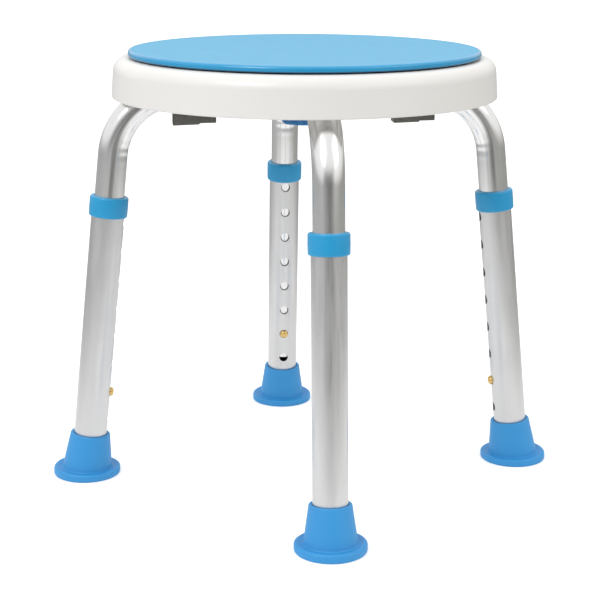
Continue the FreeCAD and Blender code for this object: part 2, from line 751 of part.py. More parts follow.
def make_hand_knob():
    washer_hole = size.stud_radius + size.shank_clearance
    washer("clamp_washer", size.clamp_washer, washer_hole, size.clamp_bottom, size.washer_thick)
    bore = size.stud_radius + size.running / 2
    length = size.knob_top - size.insert_bottom - size.running
    bottom = size.insert_bottom + size.running / 5
    washer("knob_insert", size.insert_radius - size.running / 5, bore, bottom, length)

    body = new_body("hand_knob")
    section = new_sketch(body, "XZ_Plane", "section")
    outline(
        section,
        [
            (0, size.knob_bottom),
            (size.knob_radius, size.knob_bottom),
            (size.knob_radius, size.knob_top),
            (size.insert_radius, size.knob_top),
            (size.insert_radius, size.insert_bottom),
            (0, size.insert_bottom),
        ],
    )
    revolve(body, section, "turned")
    rims = either(ring(size.knob_radius, size.knob_bottom), ring(size.knob_radius, size.knob_top))
    round_off(body, "soft_rims", size.knob_height / 8, rims)
    flute = new_sketch(body, "XY_Plane", "flute", offset=size.knob_bottom)
    circle(flute, size.knob_flute, size.knob_radius + size.knob_flute / 2)
    flute_cut = extrude(body, flute, "flute_cut", size.knob_height, cut=True, back=True)
    repeat_round(body, [flute_cut], "flutes", 10, cut=True)


# Lock levers


def make_lock_lever(side, turn):
    """A moulded handle on a steel shank, whose cross head turns behind the seat's ledge."""
    tube_bottom = size.arm_height - size.tube_radius
    handle_top = size.lever_bottom + size.lever_thick
    neck_top = tube_bottom - size.shank_clearance
    mouth = size.arm_height + size.tube_radius + size.saddle_clearance
    head_bottom = mouth + size.ledge + size.socket_room
    shank_bottom = size.lever_bottom + size.lever_thick / 3

    handle = new_body(f"lock_lever_{side}")
    grip = new_sketch(handle, "XY_Plane", "grip", offset=size.lever_bottom)
    half, width = size.lever_length / 2, size.lever_width / 2
    oblong(grip, -half, half, -width, width)
    extrude(handle, grip, "grip_pad", size.lever_thick)
    round_off(handle, "grip_corners", size.lever_width / 6, upright)
    neck = new_sketch(handle, "XY_Plane", "neck", offset=handle_top)
    circle(neck, size.neck_radius)
    extrude(handle, neck, "neck_pad", neck_top - handle_top)
    round_off(handle, "grip_underside", size.lever_thick / 6, level(size.lever_bottom))
    bore = new_sketch(handle, "XY_Plane", "bore", offset=neck_top)
    circle(bore, size.stud_radius + size.running / 5)
    extrude(handle, bore, "bore_cut", neck_top - shank_bottom, cut=True)

    shank = new_body(f"lock_shank_{side}")
    rod = new_sketch(shank, "XY_Plane", "rod", offset=shank_bottom + size.running / 5)
    circle(rod, size.stud_radius)
    extrude(shank, rod, "rod_pad", head_bottom + size.head_thick - shank_bottom)
    head = new_sketch(shank, "XY_Plane", "cross_head", offset=head_bottom)
    oblong(head, -size.head_reach, size.head_reach, -size.head_width, size.head_width)
    extrude(shank, head, "cross_head_pad", size.head_thick)

    for body in (handle, shank):
        x = cosine(as_size(turn)) * size.lever_place
        y = sine(as_size(turn)) * size.lever_place
        place(body, x, y, 0, turn + size.lever_skew)


# Legs. Each piece is made along its own Z, with X away from the middle of the stool.


def leg_sizes():
    top = size.first_hole + (size.hole_count - 1) * size.hole_pitch + size.top_margin
    bottom = size.foot_floor + size.foot_washer
    return size.leg_bore, size.leg_outside, bottom, top


def make_leg_tube(side, turn):
    """The lower tube, with its row of holes on the side that faces the middle."""
    bore, outside, bottom, top = leg_sizes()
    body = new_body(f"leg_tube_{side}")
    section = new_sketch(body, "XZ_Plane", "section")
    oblong(section, bore, outside, bottom, top)
    revolve(body, section, "tube")
    hole = new_sketch(body, "YZ_Plane", "hole")
    circle(hole, size.hole_radius, 0, size.first_hole)
    drilled = extrude(body, hole, "hole_cut", outside * 1.2, cut=True)
    repeat_along(body, [drilled], "holes", size.hole_count, size.hole_pitch, cut=True)
    stand_as_leg(body, turn)


def make_collar(side, turn):
    """A sleeve over the leg tube's top end, with a lip that closes round the upper tube."""
    bore, outside, bottom, top = leg_sizes()
    fit = outside + size.grip_clearance
    radius = fit + size.collar_wall
    collar_top = top + size.collar_lip
    collar_bottom = collar_top - size.collar_length
    lip_bore = bore + size.slide_clearance
    seat = top + size.grip_clearance
    body = new_body(f"collar_{side}")
    section = new_sketch(body, "XZ_Plane", "section")
    outline(
        section,
        [
            (fit, collar_bottom),
            (radius, collar_bottom),
            (radius, collar_top),
            (lip_bore, collar_top),
            (lip_bore, seat),
            (fit, seat),
        ],
    )
    revolve(body, section, "turned")
    edges = either(ring(radius, collar_top), ring(radius, collar_bottom))
    round_off(body, "soft_edges", size.collar_wall / 2, edges)
    stand_as_leg(body, turn)


def make_foot(side, turn):
    """The rubber foot: a flat round base on the floor, and a sleeve that leans with the leg."""
    bore, outside, bottom, top = leg_sizes()
    sleeve_end = size.sleeve_start + size.sleeve_length
    body = new_body(f"foot_{side}")
    base = new_sketch(body, "XZ_Plane", "base")
    oblong(base, 0, size.sole_radius, 0, size.sole_height)
    revolve(body, base, "base_turned")
    sleeve = new_sketch(body, "XZ_Plane", "sleeve", turn=size.splay)
    outline(
        sleeve,
        [
            (0, size.sleeve_start),
            (size.sleeve_base, size.sleeve_start),
            (size.sleeve_top, sleeve_end),
            (0, sleeve_end),
        ],
    )
    revolve(body, sleeve, "sleeve_turned")
    soft = size.sole_height * 0.3
    base_edges = either(ring(size.sole_radius, 0), ring(size.sole_radius, size.sole_height))
    round_off(body, "base_edges", soft, base_edges)
    root_edge = level(size.sole_height)
    clear_of_rim = size.sole_radius.number - 2 * soft.number
    round_off(body, "root", size.sole_height / 2, inside_of(root_edge, clear_of_rim))
    centre_height = (sleeve_end * cosine(size.splay)).number
    round_off(body, "sleeve_edge", (size.sleeve_top - outside) / 2, tilted_ring(centre_height))
    pocket = new_sketch(body, "XZ_Plane", "pocket", turn=size.splay)
    oblong(pocket, 0, outside + size.grip_clearance, size.foot_floor, sleeve_end + size.sole_height)
    revolve(body, pocket, "pocket_turned", cut=True)
    tread = new_sketch(body, "XZ_Plane", "tread")
    for share in (0.3, 0.5, 0.7):
        start = size.sole_radius * share
        oblong(tread, start, start + size.tread_width, -size.tread_depth, size.tread_depth)
    revolve(body, tread, "tread_turned", cut=True)
    x = cosine(as_size(turn)) * size.foot_circle
    y = sine(as_size(turn)) * size.foot_circle
    place(body, x, y, 0, turn)
    plate = washer(f"foot_washer_{side}", outside, bore / 2, size.foot_floor, size.foot_washer)
    stand_as_leg(plate, turn)


def inside_of(picks, radius):
    """Picks edges that also keep within a radius of the body's own axis."""

    def wanted(edge):
        box = edge.BoundBox
        return picks(edge) and max(box.XMax, -box.XMin) < radius

    return wanted


def tilted_ring(height):
    """Picks the full circle whose centre is at a height, whatever way it leans."""

    def wanted(edge):
        curve = edge.Curve
        return isinstance(curve, Part.Circle) and abs(curve.Center.z - height) < NEAR

    return wanted


# Snap buttons


def make_button(side, turn):
    """A brass button on a bent spring strip. It locks the leg through one of its holes."""
    bore, outside, bottom, top = leg_sizes()
    along = size.first_hole + size.hole_pitch
    tip = outside + size.button_proud
    inner = size.tube_radius - size.tube_wall
    flange_front = inner - size.flange_thick * 1.8
    flange_back = flange_front - size.flange_thick
    button = new_body(f"snap_button_{side}")
    section = new_sketch(button, "XZ_Plane", "section")
    outline(
        section,
        [
            (0, flange_back),
            (size.button_flange, flange_back),
            (size.button_flange, flange_front),
            (size.button_radius, flange_front),
            (size.button_radius, tip),
            (0, tip),
        ],
    )
    revolve(button, section, "turned")
    round_off(button, "dome", size.button_proud * 0.95, ring(size.button_radius, tip))
    out, up = leg_point(along)
    place(button, cosine(as_size(turn)) * out, sine(as_size(turn)) * out, up, turn, -90 - size.splay)

    clip = new_body(f"button_clip_{side}")
    strip = new_sketch(clip, "XZ_Plane", "strip")
    near = -flange_back + size.running / 5
    reach = inner - size.clip_thick * 1.2
    low = along - size.clip_tail
    high = low + size.clip_length
    thick = size.clip_thick
    outline(
        strip,
        [
            (near, low),
            (near + thick, low),
            (near + thick, along + size.button_flange),
            (thick, high - thick),
            (reach - thick, along),
            (reach - thick, low),
            (reach, low),
            (reach, along),
            (thick * 2, high),
            (-thick, high),
            (near, along + size.button_flange),
        ],
    )
    extrude(clip, strip, "strip_pad", size.clip_width, middle=True)
    stand_as_leg(clip, turn)


def check_and_write():
    """Stops at the first failed object, then writes one file for each piece."""
    doc.recompute()
    for item in doc.Objects:
        if "Invalid" in item.State or "Error" in item.State:
            raise RuntimeError(f"{item.Label} failed: {item.State}")
    os.makedirs("parts", exist_ok=True)
    for piece in pieces:
        shape = piece.Shape
        if shape.isNull() or not shape.isValid() or not shape.Solids:
            raise RuntimeError(f"{piece.Label} has no valid solid")
        shape.exportStep(f"parts/{piece.Label}.step")
        print(f"{piece.Label}: {len(shape.Solids)} solid, {shape.Volume / 1000:.2f} cm3")


doc = FreeCAD.newDocument("BathStool")
size = fill_sheet()
pieces = []
make_seat_shell()
make_swivel()
make_arch("arch_front_rear", 90, 1, lever_holes=False)
make_arch("arch_left_right", 0, -1, lever_holes=True)
make_centre_bolt()
make_hand_knob()
for side_name, side_turn in SIDES:
    make_lock_lever(side_name, side_turn)
for leg_name, leg_turn in LEGS:
    make_leg_tube(leg_name, leg_turn)
    make_collar(leg_name, leg_turn)
    make_foot(leg_name, leg_turn)
    make_button(leg_name, leg_turn)
check_and_write()
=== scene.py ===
import math

import bmesh
import bpy
from mathutils import Matrix, Vector


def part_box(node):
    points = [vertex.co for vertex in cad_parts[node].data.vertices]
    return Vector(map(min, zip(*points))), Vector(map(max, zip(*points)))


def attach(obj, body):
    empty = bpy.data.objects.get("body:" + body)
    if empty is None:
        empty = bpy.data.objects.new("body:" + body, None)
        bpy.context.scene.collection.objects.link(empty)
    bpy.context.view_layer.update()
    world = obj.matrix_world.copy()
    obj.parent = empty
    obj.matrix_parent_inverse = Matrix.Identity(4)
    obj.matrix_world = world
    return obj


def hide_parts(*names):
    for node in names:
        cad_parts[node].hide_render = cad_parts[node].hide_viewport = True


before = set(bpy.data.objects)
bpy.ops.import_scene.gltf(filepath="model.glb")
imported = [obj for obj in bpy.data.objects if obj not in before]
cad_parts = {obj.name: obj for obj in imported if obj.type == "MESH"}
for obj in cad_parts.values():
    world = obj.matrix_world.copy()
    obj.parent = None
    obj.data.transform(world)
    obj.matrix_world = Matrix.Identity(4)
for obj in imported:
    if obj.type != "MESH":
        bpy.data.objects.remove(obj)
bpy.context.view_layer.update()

# Metres and radians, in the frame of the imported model: +Z is up, the floor is at zero, and the legs
# stand towards -Y (front), +X (right), +Y (rear) and -X (left).
MM = 0.001
LEGS = (("front", -90), ("right", 0), ("rear", 90), ("left", 180))

# Legs and arches
FOOT_CIRCLE = 194.2 * MM
SPLAY = math.radians(6)
ARM_HEIGHT = 338 * MM
BEND_RADIUS = 58 * MM
TUBE_RADIUS = 12.7 * MM
TUBE_WALL = 1.4 * MM
LEG_BORE = 12.8 * MM
LEG_OUTSIDE = 14.3 * MM
LEG_BOTTOM = 9.6 * MM
LEG_TOP = 249.5 * MM
FIRST_HOLE = 51.1 * MM
HOLE_PITCH = 25.4 * MM
HOLE_COUNT = 8
HOLE_RADIUS = 4.3 * MM
UPPER_TUBE_END = FIRST_HOLE + HOLE_PITCH - 25.5 * MM
PRESS_HALF_WIDTH = 18.2 * MM
PRESS_HALF_DEPTH = 5.5 * MM
PRESS_GAP = 0.1 * MM
PRESS_REACH = 24 * MM
ROUND_REACH = 56 * MM
BOLT_HOLE = 4.3 * MM
LEVER_PLACE = abs(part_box("lock_lever_right")[0].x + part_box("lock_lever_right")[1].x) / 2

# Plastic and rubber pieces
COLLAR_BORE = 14.35 * MM
COLLAR_OUTSIDE = 16.65 * MM
COLLAR_TOP = LEG_TOP + 2 * MM
COLLAR_BOTTOM = COLLAR_TOP - 17.5 * MM
COLLAR_LIP_BORE = 12.9 * MM
SOLE_RADIUS = 29.3 * MM
SOLE_HEIGHT = 6.8 * MM
SLEEVE_BASE = 22.3 * MM
SLEEVE_TOP = 17.3 * MM
SLEEVE_END = 37.5 * MM
LEVER_SKEW = math.radians(12)
DISC_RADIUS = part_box("turntable_disc")[1].x
DISC_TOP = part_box("turntable_disc")[1].z
DISC_BOTTOM = DISC_TOP - 5.3 * MM
SPIGOT_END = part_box("turntable_disc")[0].z
SEAT_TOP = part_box("seat_shell")[1].z
SEAT_RADIUS = 161.5 * MM

# Studio: how strongly the floor glows to the viewer and to the stool, how bright it is overhead, and
# the watts of the two softboxes
FLOOR_LIFT = 0.3
FLOOR_GLOW = 0.06
OVERHEAD = 1.0
KEY_POWER = 20
FILL_POWER = 5.5

# Camera: its lens is for a sensor 36 mm wide
CAMERA_PLACE = Vector((-0.1525, -1.3279, 0.4969))
CAMERA_PITCH = math.radians(14.4)
CAMERA_AIM_LEFT = math.radians(0.137)
CAMERA_ROLL = 0.0036
CAMERA_LENS = 93.62


# Mesh helpers

CREASE = math.radians(35)
NEARLY_ZERO = MM / 1000


def round_corner(before, corner, after, radius, steps):
    """The points of the arc that rounds one corner of an outline."""
    if radius == 0:
        return [corner]
    to_before = (before - corner).normalized()
    to_after = (after - corner).normalized()
    half = to_before.angle(to_after) / 2
    reach = radius / math.tan(half)
    centre = corner + (to_before + to_after).normalized() * (radius / math.sin(half))
    start = corner + to_before * reach - centre
    end = corner + to_after * reach - centre
    shares = [step / steps for step in range(steps + 1)]
    return [centre + start.lerp(end, share).normalized() * radius for share in shares]


def rounded_outline(corners, steps=6):
    """A closed outline from (across, up, corner radius), with an arc at each rounded corner."""
    spots = [Vector((across, up)) for across, up, radius in corners]
    points = []
    for number, (across, up, radius) in enumerate(corners):
        before = spots[number - 1]
        after = spots[(number + 1) % len(spots)]
        points += round_corner(before, spots[number], after, radius, steps)
    return points


def straight_up(radius, angle, height):
    return Vector((radius * math.cos(angle), radius * math.sin(angle), height))


def mesh_from(name, points, faces, crease=CREASE):
    """A mesh with outward faces, smooth except where it turns sharply."""
    mesh = bpy.data.meshes.new(name)
    mesh.from_pydata(points, [], faces)
    shape = bmesh.new()
    shape.from_mesh(mesh)
    bmesh.ops.remove_doubles(shape, verts=shape.verts, dist=NEARLY_ZERO)
    bmesh.ops.recalc_face_normals(shape, faces=shape.faces)
    shape.to_mesh(mesh)
    shape.free()
    mesh.shade_smooth()
    mesh.set_sharp_from_angle(angle=crease)
    return mesh


def turned(name, outline, around=96, spot=straight_up):
    """Turns a closed outline of (radius, height) about the piece's own axis."""
    points = []
    rings = []
    for radius, height in outline:
        count = 1 if radius < NEARLY_ZERO else around
        rings.append([len(points) + step for step in range(count)])
        points += [spot(radius, 2 * math.pi * step / around, height) for step in range(count)]
    faces = []
    for lower, upper in zip(rings, rings[1:] + rings[:1]):
        if len(lower) == 1 and len(upper) == 1:
            continue
        for step in range(around):
            following = (step + 1) % around
            corners = [lower[step % len(lower)], lower[following % len(lower)]]
            corners += [upper[following % len(upper)], upper[step % len(upper)]]
            faces.append(list(dict.fromkeys(corners)))
    return mesh_from(name, points, faces)


def skinned(name, sections, crease=CREASE):
    """Joins a row of closed sections, each with the same number of points, and closes both ends."""
    around = len(sections[0])
    points = [point for section in sections for point in section]
    faces = []
    for row in range(len(sections) - 1):
        for step in range(around):
            following = (step + 1) % around
            low, high = row * around, (row + 1) * around
            faces.append((low + step, low + following, high + following, high + step))
    last = (len(sections) - 1) * around
    faces.append(tuple(range(around)))
    faces.append(tuple(range(last + around - 1, last - 1, -1)))
    return mesh_from(name, points, faces, crease)


def combined(meshes):
    """One mesh from several that don't meet."""
    shape = bmesh.new()
    for mesh in meshes:
        shape.from_mesh(mesh)
    result = bpy.data.meshes.new(meshes[0].name)
    shape.to_mesh(result)
    shape.free()
    return result


def boolean(mesh, other, operation):
    """The mesh with another taken out of it or added to it. Cut faces keep the other's material."""
    blank = bpy.data.objects.new("blank", mesh)
    tool = bpy.data.objects.new("tool", other)
    for thing in (blank, tool):
        bpy.context.collection.objects.link(thing)
    modifier = blank.modifiers.new("cut", "BOOLEAN")
    modifier.operation = operation
    modifier.object = tool
    modifier.solver = "EXACT"
    modifier.material_mode = "TRANSFER"
    depsgraph = bpy.context.evaluated_depsgraph_get()
    result = bpy.data.meshes.new_from_object(blank.evaluated_get(depsgraph), depsgraph=depsgraph)
    result.name = mesh.name
    for thing in (blank, tool):
        bpy.data.objects.remove(thing)
    return result


def rod(radius, start, end, around=48):
    """A plain rod between two points, as a cutter."""
    along = end - start
    turn = along.to_track_quat("Z", "Y").to_matrix().to_4x4()
    place = Matrix.Translation(start) @ turn
    rings = [
        [place @ straight_up(radius, 2 * math.pi * step / around, height) for step in range(around)]
        for height in (0, along.length)
    ]
    return skinned("rod", rings)


def add_piece(name, mesh, finish, body, nodes, place=Matrix.Identity(4)):
    """Shows a mesh in place of CAD nodes and lets it ride on their body."""
    piece = bpy.data.objects.new(name, mesh)
    bpy.context.collection.objects.link(piece)
    piece.matrix_world = place
    if not mesh.materials:
        mesh.materials.append(finish)
    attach(piece, body)
    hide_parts(*nodes)
    return piece


def upright_at(turn):
    """The place of a foot: on the floor, with its own X away from the middle."""
    yaw = Matrix.Rotation(math.radians(turn), 4, "Z")
    return yaw @ Matrix.Translation((FOOT_CIRCLE, 0, 0))


def leaning_at(turn):
    """The place of a leg: its own Z runs up the leg, its own X away from the middle."""
    return upright_at(turn) @ Matrix.Rotation(-SPLAY, 4, "Y")


# Node helpers


def wire(tree, node, inputs):
    for key, value in inputs.items():
        if isinstance(value, bpy.types.NodeSocket):
            tree.links.new(value, node.inputs[key])
        else:
            node.inputs[key].default_value = value


def add_node(tree, kind, inputs=None, **settings):
    node = tree.nodes.new(kind)
    for name, value in settings.items():
        setattr(node, name, value)
    wire(tree, node, inputs or {})
    return node


def calculate(tree, operation, first, second=0.5, clamp=False):
    inputs = {0: first, 1: second}
    return add_node(tree, "ShaderNodeMath", inputs, operation=operation, use_clamp=clamp).outputs[0]


def ramp_between(tree, value, low, high, to_low=0.0, to_high=1.0):
    """Maps low..high smoothly to to_low..to_high."""
    inputs = {"Value": value, "From Min": low, "From Max": high, "To Min": to_low, "To Max": to_high}
    node = add_node(tree, "ShaderNodeMapRange", inputs, interpolation_type="SMOOTHSTEP")
    return node.outputs["Result"]


def blend_colours(tree, share, first, second, blend="MIX"):
    node = add_node(tree, "ShaderNodeMix", {0: share, 6: first, 7: second}, data_type="RGBA")
    node.blend_type = blend
    return node.outputs[2]


def stretch(tree, vector, scale):
    inputs = {0: vector, 1: scale}
    return add_node(tree, "ShaderNodeVectorMath", inputs, operation="MULTIPLY").outputs[0]


def noise(tree, vector, scale, detail=3.0, roughness=0.5):
    inputs = {"Vector": vector, "Scale": scale, "Detail": detail, "Roughness": roughness}
    return add_node(tree, "ShaderNodeTexNoise", inputs).outputs["Fac"]


def new_group(name, inputs, outputs):
    """A shader group with named sockets. Returns its tree, its inputs and its output node."""
    tree = bpy.data.node_groups.new(name, "ShaderNodeTree")
    for label, kind, value in inputs:
        socket = tree.interface.new_socket(label, in_out="INPUT", socket_type=kind)
        if value is not None:
            socket.default_value = value
    for label, kind in outputs:
        tree.interface.new_socket(label, in_out="OUTPUT", socket_type=kind)
    entry = tree.nodes.new("NodeGroupInput")
    return tree, entry.outputs, tree.nodes.new("NodeGroupOutput")


def use_group(tree, group, inputs):
    node = tree.nodes.new("ShaderNodeGroup")
    node.node_tree = group
    wire(tree, node, inputs)
    return node.outputs


FLOAT = "NodeSocketFloat"
VECTOR = "NodeSocketVector"
COLOUR = "NodeSocketColor"


# Shared effects


def make_grain_group():
    """The fine skin of moulded plastic and rubber: a pebbled height and a matching speckle."""
    inputs = [("Place", VECTOR, None), ("Grain Size", FLOAT, 0.0006), ("Swell Size", FLOAT, 0.02)]
    tree, given, result = new_group("moulded_grain", inputs, [("Height", FLOAT), ("Speckle", FLOAT)])
    fineness = calculate(tree, "DIVIDE", 1.0, given["Grain Size"])
    swell_rate = calculate(tree, "DIVIDE", 1.0, given["Swell Size"])
    pebbles = noise(tree, given["Place"], fineness, 4.0, 0.6)
    swell = noise(tree, given["Place"], swell_rate, 2.0)
    joined = calculate(tree, "ADD", pebbles, calculate(tree, "MULTIPLY", swell, 0.6))
    wire(tree, result, {"Height": joined, "Speckle": ramp_between(tree, pebbles, 0.35, 0.65)})
    return tree


def make_drift_group():
    """A slow drift of shade over a surface, darker and lighter by a given share."""
    inputs = [("Colour", COLOUR, None), ("Place", VECTOR, None), ("Patch Size", FLOAT, 0.06),
              ("Amount", FLOAT, 0.06)]
    outputs = [("Colour", COLOUR), ("Patches", FLOAT)]
    tree, given, result = new_group("shade_drift", inputs, outputs)
    rate = calculate(tree, "DIVIDE", 1.0, given["Patch Size"])
    patches = ramp_between(tree, noise(tree, given["Place"], rate, 3.0), 0.3, 0.7)
    swing = calculate(tree, "MULTIPLY", calculate(tree, "SUBTRACT", patches, 0.5), given["Amount"])
    level = calculate(tree, "ADD", 1.0, calculate(tree, "MULTIPLY", swing, 2.0))
    scaled = add_node(tree, "ShaderNodeVectorMath", {0: given["Colour"]}, operation="SCALE")
    wire(tree, scaled, {"Scale": level})
    wire(tree, result, {"Colour": scaled.outputs[0], "Patches": patches})
    return tree


def make_edge_mask_group():
    """Masks of outer edges, broken up so that no edge is even, and of recesses."""
    inputs = [("Place", VECTOR, None), ("Break Size", FLOAT, 0.004), ("Start", FLOAT, 0.535),
              ("Full", FLOAT, 0.6)]
    outputs = [("Broken Edges", FLOAT), ("Recess", FLOAT)]
    tree, given, result = new_group("edge_and_recess_masks", inputs, outputs)
    bend = tree.nodes.new("ShaderNodeNewGeometry").outputs["Pointiness"]
    edge = add_node(tree, "ShaderNodeMapRange", {"Value": bend, "From Min": given["Start"],
                                                 "From Max": given["Full"]}).outputs["Result"]
    rate = calculate(tree, "DIVIDE", 1.0, given["Break Size"])
    broken = ramp_between(tree, noise(tree, given["Place"], rate, 5.0, 0.6), 0.38, 0.62)
    broken_edges = calculate(tree, "MULTIPLY", edge, broken, clamp=True)
    recess = ramp_between(tree, bend, 0.47, 0.42)
    wire(tree, result, {"Broken Edges": broken_edges, "Recess": recess})
    return tree


def make_drawn_group():
    """Fine lines drawn along a tube, from the die that it was pulled through and the brush after it."""
    inputs = [("Place", VECTOR, None), ("Line Size", FLOAT, 0.0004), ("Line Length", FLOAT, 0.05)]
    outputs = [("Lines", FLOAT), ("Bands", FLOAT)]
    tree, given, result = new_group("drawn_lines", inputs, outputs)
    across = calculate(tree, "DIVIDE", 1.0, given["Line Size"])
    along = calculate(tree, "DIVIDE", 1.0, given["Line Length"])
    rates = add_node(tree, "ShaderNodeCombineXYZ", {0: across, 1: across, 2: along}).outputs[0]
    lines = noise(tree, stretch(tree, given["Place"], rates), 1.0, 4.0, 0.6)
    wide = calculate(tree, "DIVIDE", across, 8.0)
    wide_rates = add_node(tree, "ShaderNodeCombineXYZ", {0: wide, 1: wide, 2: along}).outputs[0]
    bands = noise(tree, stretch(tree, given["Place"], wide_rates), 1.0, 2.0)
    wire(tree, result, {"Lines": lines, "Bands": ramp_between(tree, bands, 0.3, 0.7)})
    return tree


def make_scuff_group():
    """Short light scuffs that lie in every direction, as handling leaves them."""
    inputs = [("Place", VECTOR, None), ("Scuff Size", FLOAT, 0.012), ("Share", FLOAT, 0.1)]
    tree, given, result = new_group("handling_scuffs", inputs, [("Scuffs", FLOAT)])
    rate = calculate(tree, "DIVIDE", 1.0, given["Scuff Size"])
    warp = noise(tree, given["Place"], rate, 2.0)
    turned_place = add_node(tree, "ShaderNodeVectorRotate", {"Vector": given["Place"], "Angle": warp})
    turned_place.rotation_type = "X_AXIS"
    fine = stretch(tree, turned_place.outputs[0], (1.0, 14.0, 3.0))
    threads = noise(tree, fine, rate, 3.0, 0.55)
    gap = calculate(tree, "ABSOLUTE", calculate(tree, "SUBTRACT", threads, 0.5))
    hairs = ramp_between(tree, gap, 0.02, 0.0)
    where = noise(tree, given["Place"], calculate(tree, "MULTIPLY", rate, 0.5), 2.0)
    limit = calculate(tree, "SUBTRACT", 0.75, given["Share"])
    patches = ramp_between(tree, where, limit, 0.8)
    wire(tree, result, {"Scuffs": calculate(tree, "MULTIPLY", hairs, patches, clamp=True)})
    return tree


GRAIN = make_grain_group()
DRIFT = make_drift_group()
EDGE_MASK_GROUP = make_edge_mask_group()
DRAWN = make_drawn_group()
SCUFFS = make_scuff_group()


# Finishes


def new_finish(name, metallic=0.0, specular=0.5):
    """A material with one Principled shader. Returns it, its tree, the shader and the piece's own place."""
    finish = bpy.data.materials.new(name)
    finish.use_nodes = True
    tree = finish.node_tree
    shader = tree.nodes["Principled BSDF"]
    wire(tree, shader, {"Metallic": metallic, "IOR": 1.5, "Specular IOR Level": specular})
    place = tree.nodes.new("ShaderNodeTexCoord").outputs["Object"]
    return finish, tree, shader, place


def bump(tree, height, strength, distance):
    inputs = {"Height": height, "Strength": strength, "Distance": distance}
    return add_node(tree, "ShaderNodeBump", inputs).outputs["Normal"]


def moulded_finish(name, colour, wear_and_highlight_tone, roughness, grain_size, grain_depth, drift=0.03, edge_wear_and_highlight=0.35,
                   scuffed=0.08, painted_recess_shade=0.5):
    """Moulded plastic or rubber: pebbled skin, drifting shade, outer edges lightened for wear and as a
    painted highlight, painted shade in recesses and a little scuffing.
    """
    finish, tree, shader, place = new_finish(name)
    grain = use_group(tree, GRAIN, {"Place": place, "Grain Size": grain_size})
    base = use_group(tree, DRIFT, {"Colour": colour, "Place": place, "Amount": drift})
    edge_masks = use_group(tree, EDGE_MASK_GROUP, {"Place": place})
    scuffs = use_group(tree, SCUFFS, {"Place": place})["Scuffs"]
    # Outer edges lighten towards the light tone: partly wear, partly a painted highlight along the edges.
    worn_and_highlit_edges = calculate(tree, "MULTIPLY", edge_masks["Broken Edges"], edge_wear_and_highlight)
    shown = blend_colours(tree, worn_and_highlit_edges, base["Colour"], wear_and_highlight_tone)
    speck = calculate(tree, "MULTIPLY", grain["Speckle"], 0.04)
    shown = blend_colours(tree, speck, shown, wear_and_highlight_tone)
    shown = blend_colours(tree, calculate(tree, "MULTIPLY", scuffs, scuffed), shown, wear_and_highlight_tone)
    # Painted shade: recesses darken towards a shaded copy of the part's colour.
    dark = tuple(channel * 0.35 for channel in colour[:3]) + (1.0,)
    shown = blend_colours(tree, calculate(tree, "MULTIPLY", edge_masks["Recess"], painted_recess_shade), shown, dark)
    level = ramp_between(tree, base["Patches"], 0.0, 1.0, roughness - 0.04, roughness + 0.04)
    level = calculate(tree, "ADD", level, calculate(tree, "MULTIPLY", edge_masks["Broken Edges"], 0.08))
    level = calculate(tree, "ADD", level, calculate(tree, "MULTIPLY", scuffs, 0.12), clamp=True)
    wire(tree, shader, {"Base Color": shown, "Roughness": level,
                        "Normal": bump(tree, grain["Height"], 0.6, grain_depth)})
    return finish


def make_disc_finish():
    """The turning disc: a dry, fine grained face inside a smooth, shiny rim, with painted shade darkening
    the foot of the rim.
    """
    finish, tree, shader, place = new_finish("disc_blue", specular=0.6)
    flat_place = stretch(tree, place, (1.0, 1.0, 0.0))
    away = add_node(tree, "ShaderNodeVectorMath", {0: flat_place}, operation="LENGTH").outputs["Value"]
    height = add_node(tree, "ShaderNodeSeparateXYZ", {0: place}).outputs["Z"]
    inside = ramp_between(tree, away, DISC_RADIUS - 2.2 * MM, DISC_RADIUS - 3.4 * MM)
    upper = ramp_between(tree, height, DISC_TOP - 0.5 * MM, DISC_TOP - 0.1 * MM)
    face = calculate(tree, "MULTIPLY", inside, upper)
    grain = use_group(tree, GRAIN, {"Place": place, "Grain Size": 1.5 * MM, "Swell Size": 9 * MM})
    rim_colour = use_group(tree, DRIFT, {"Colour": (0.022, 0.33, 0.62, 1), "Place": place, "Amount": 0.03})
    face_colour = use_group(tree, DRIFT, {"Colour": (0.05, 0.40, 0.64, 1), "Place": place,
                                          "Patch Size": 12 * MM, "Amount": 0.05})
    scuffs = use_group(tree, SCUFFS, {"Place": place, "Scuff Size": 30 * MM, "Share": 0.16})["Scuffs"]
    speckled = blend_colours(tree, calculate(tree, "MULTIPLY", grain["Speckle"], 0.34),
                             face_colour["Colour"], (0.165, 0.52, 0.74, 1))
    # Painted shade: the lowest 1.5 mm of the rim darkens towards deep blue, as if the narrow gap under the
    # disc shaded it.
    painted_rim_shade = ramp_between(tree, height, DISC_BOTTOM + 1.5 * MM, DISC_BOTTOM + 0.4 * MM, 0.0, 0.85)
    rim_with_painted_shade = blend_colours(tree, painted_rim_shade, rim_colour["Colour"], (0.008, 0.05, 0.12, 1))
    shown = blend_colours(tree, face, rim_with_painted_shade, speckled)
    shown = blend_colours(tree, calculate(tree, "MULTIPLY", scuffs, 0.12), shown, (0.45, 0.70, 0.86, 1))
    rough_face = ramp_between(tree, grain["Speckle"], 0.0, 1.0, 0.52, 0.62)
    roughness = calculate(tree, "ADD", calculate(tree, "MULTIPLY", face, rough_face),
                          calculate(tree, "MULTIPLY", calculate(tree, "SUBTRACT", 1.0, face), 0.2))
    relief = calculate(tree, "MULTIPLY", grain["Height"], face)
    wire(tree, shader, {"Base Color": shown, "Roughness": roughness,
                        "Normal": bump(tree, relief, 0.5, 0.12 * MM)})
    return finish


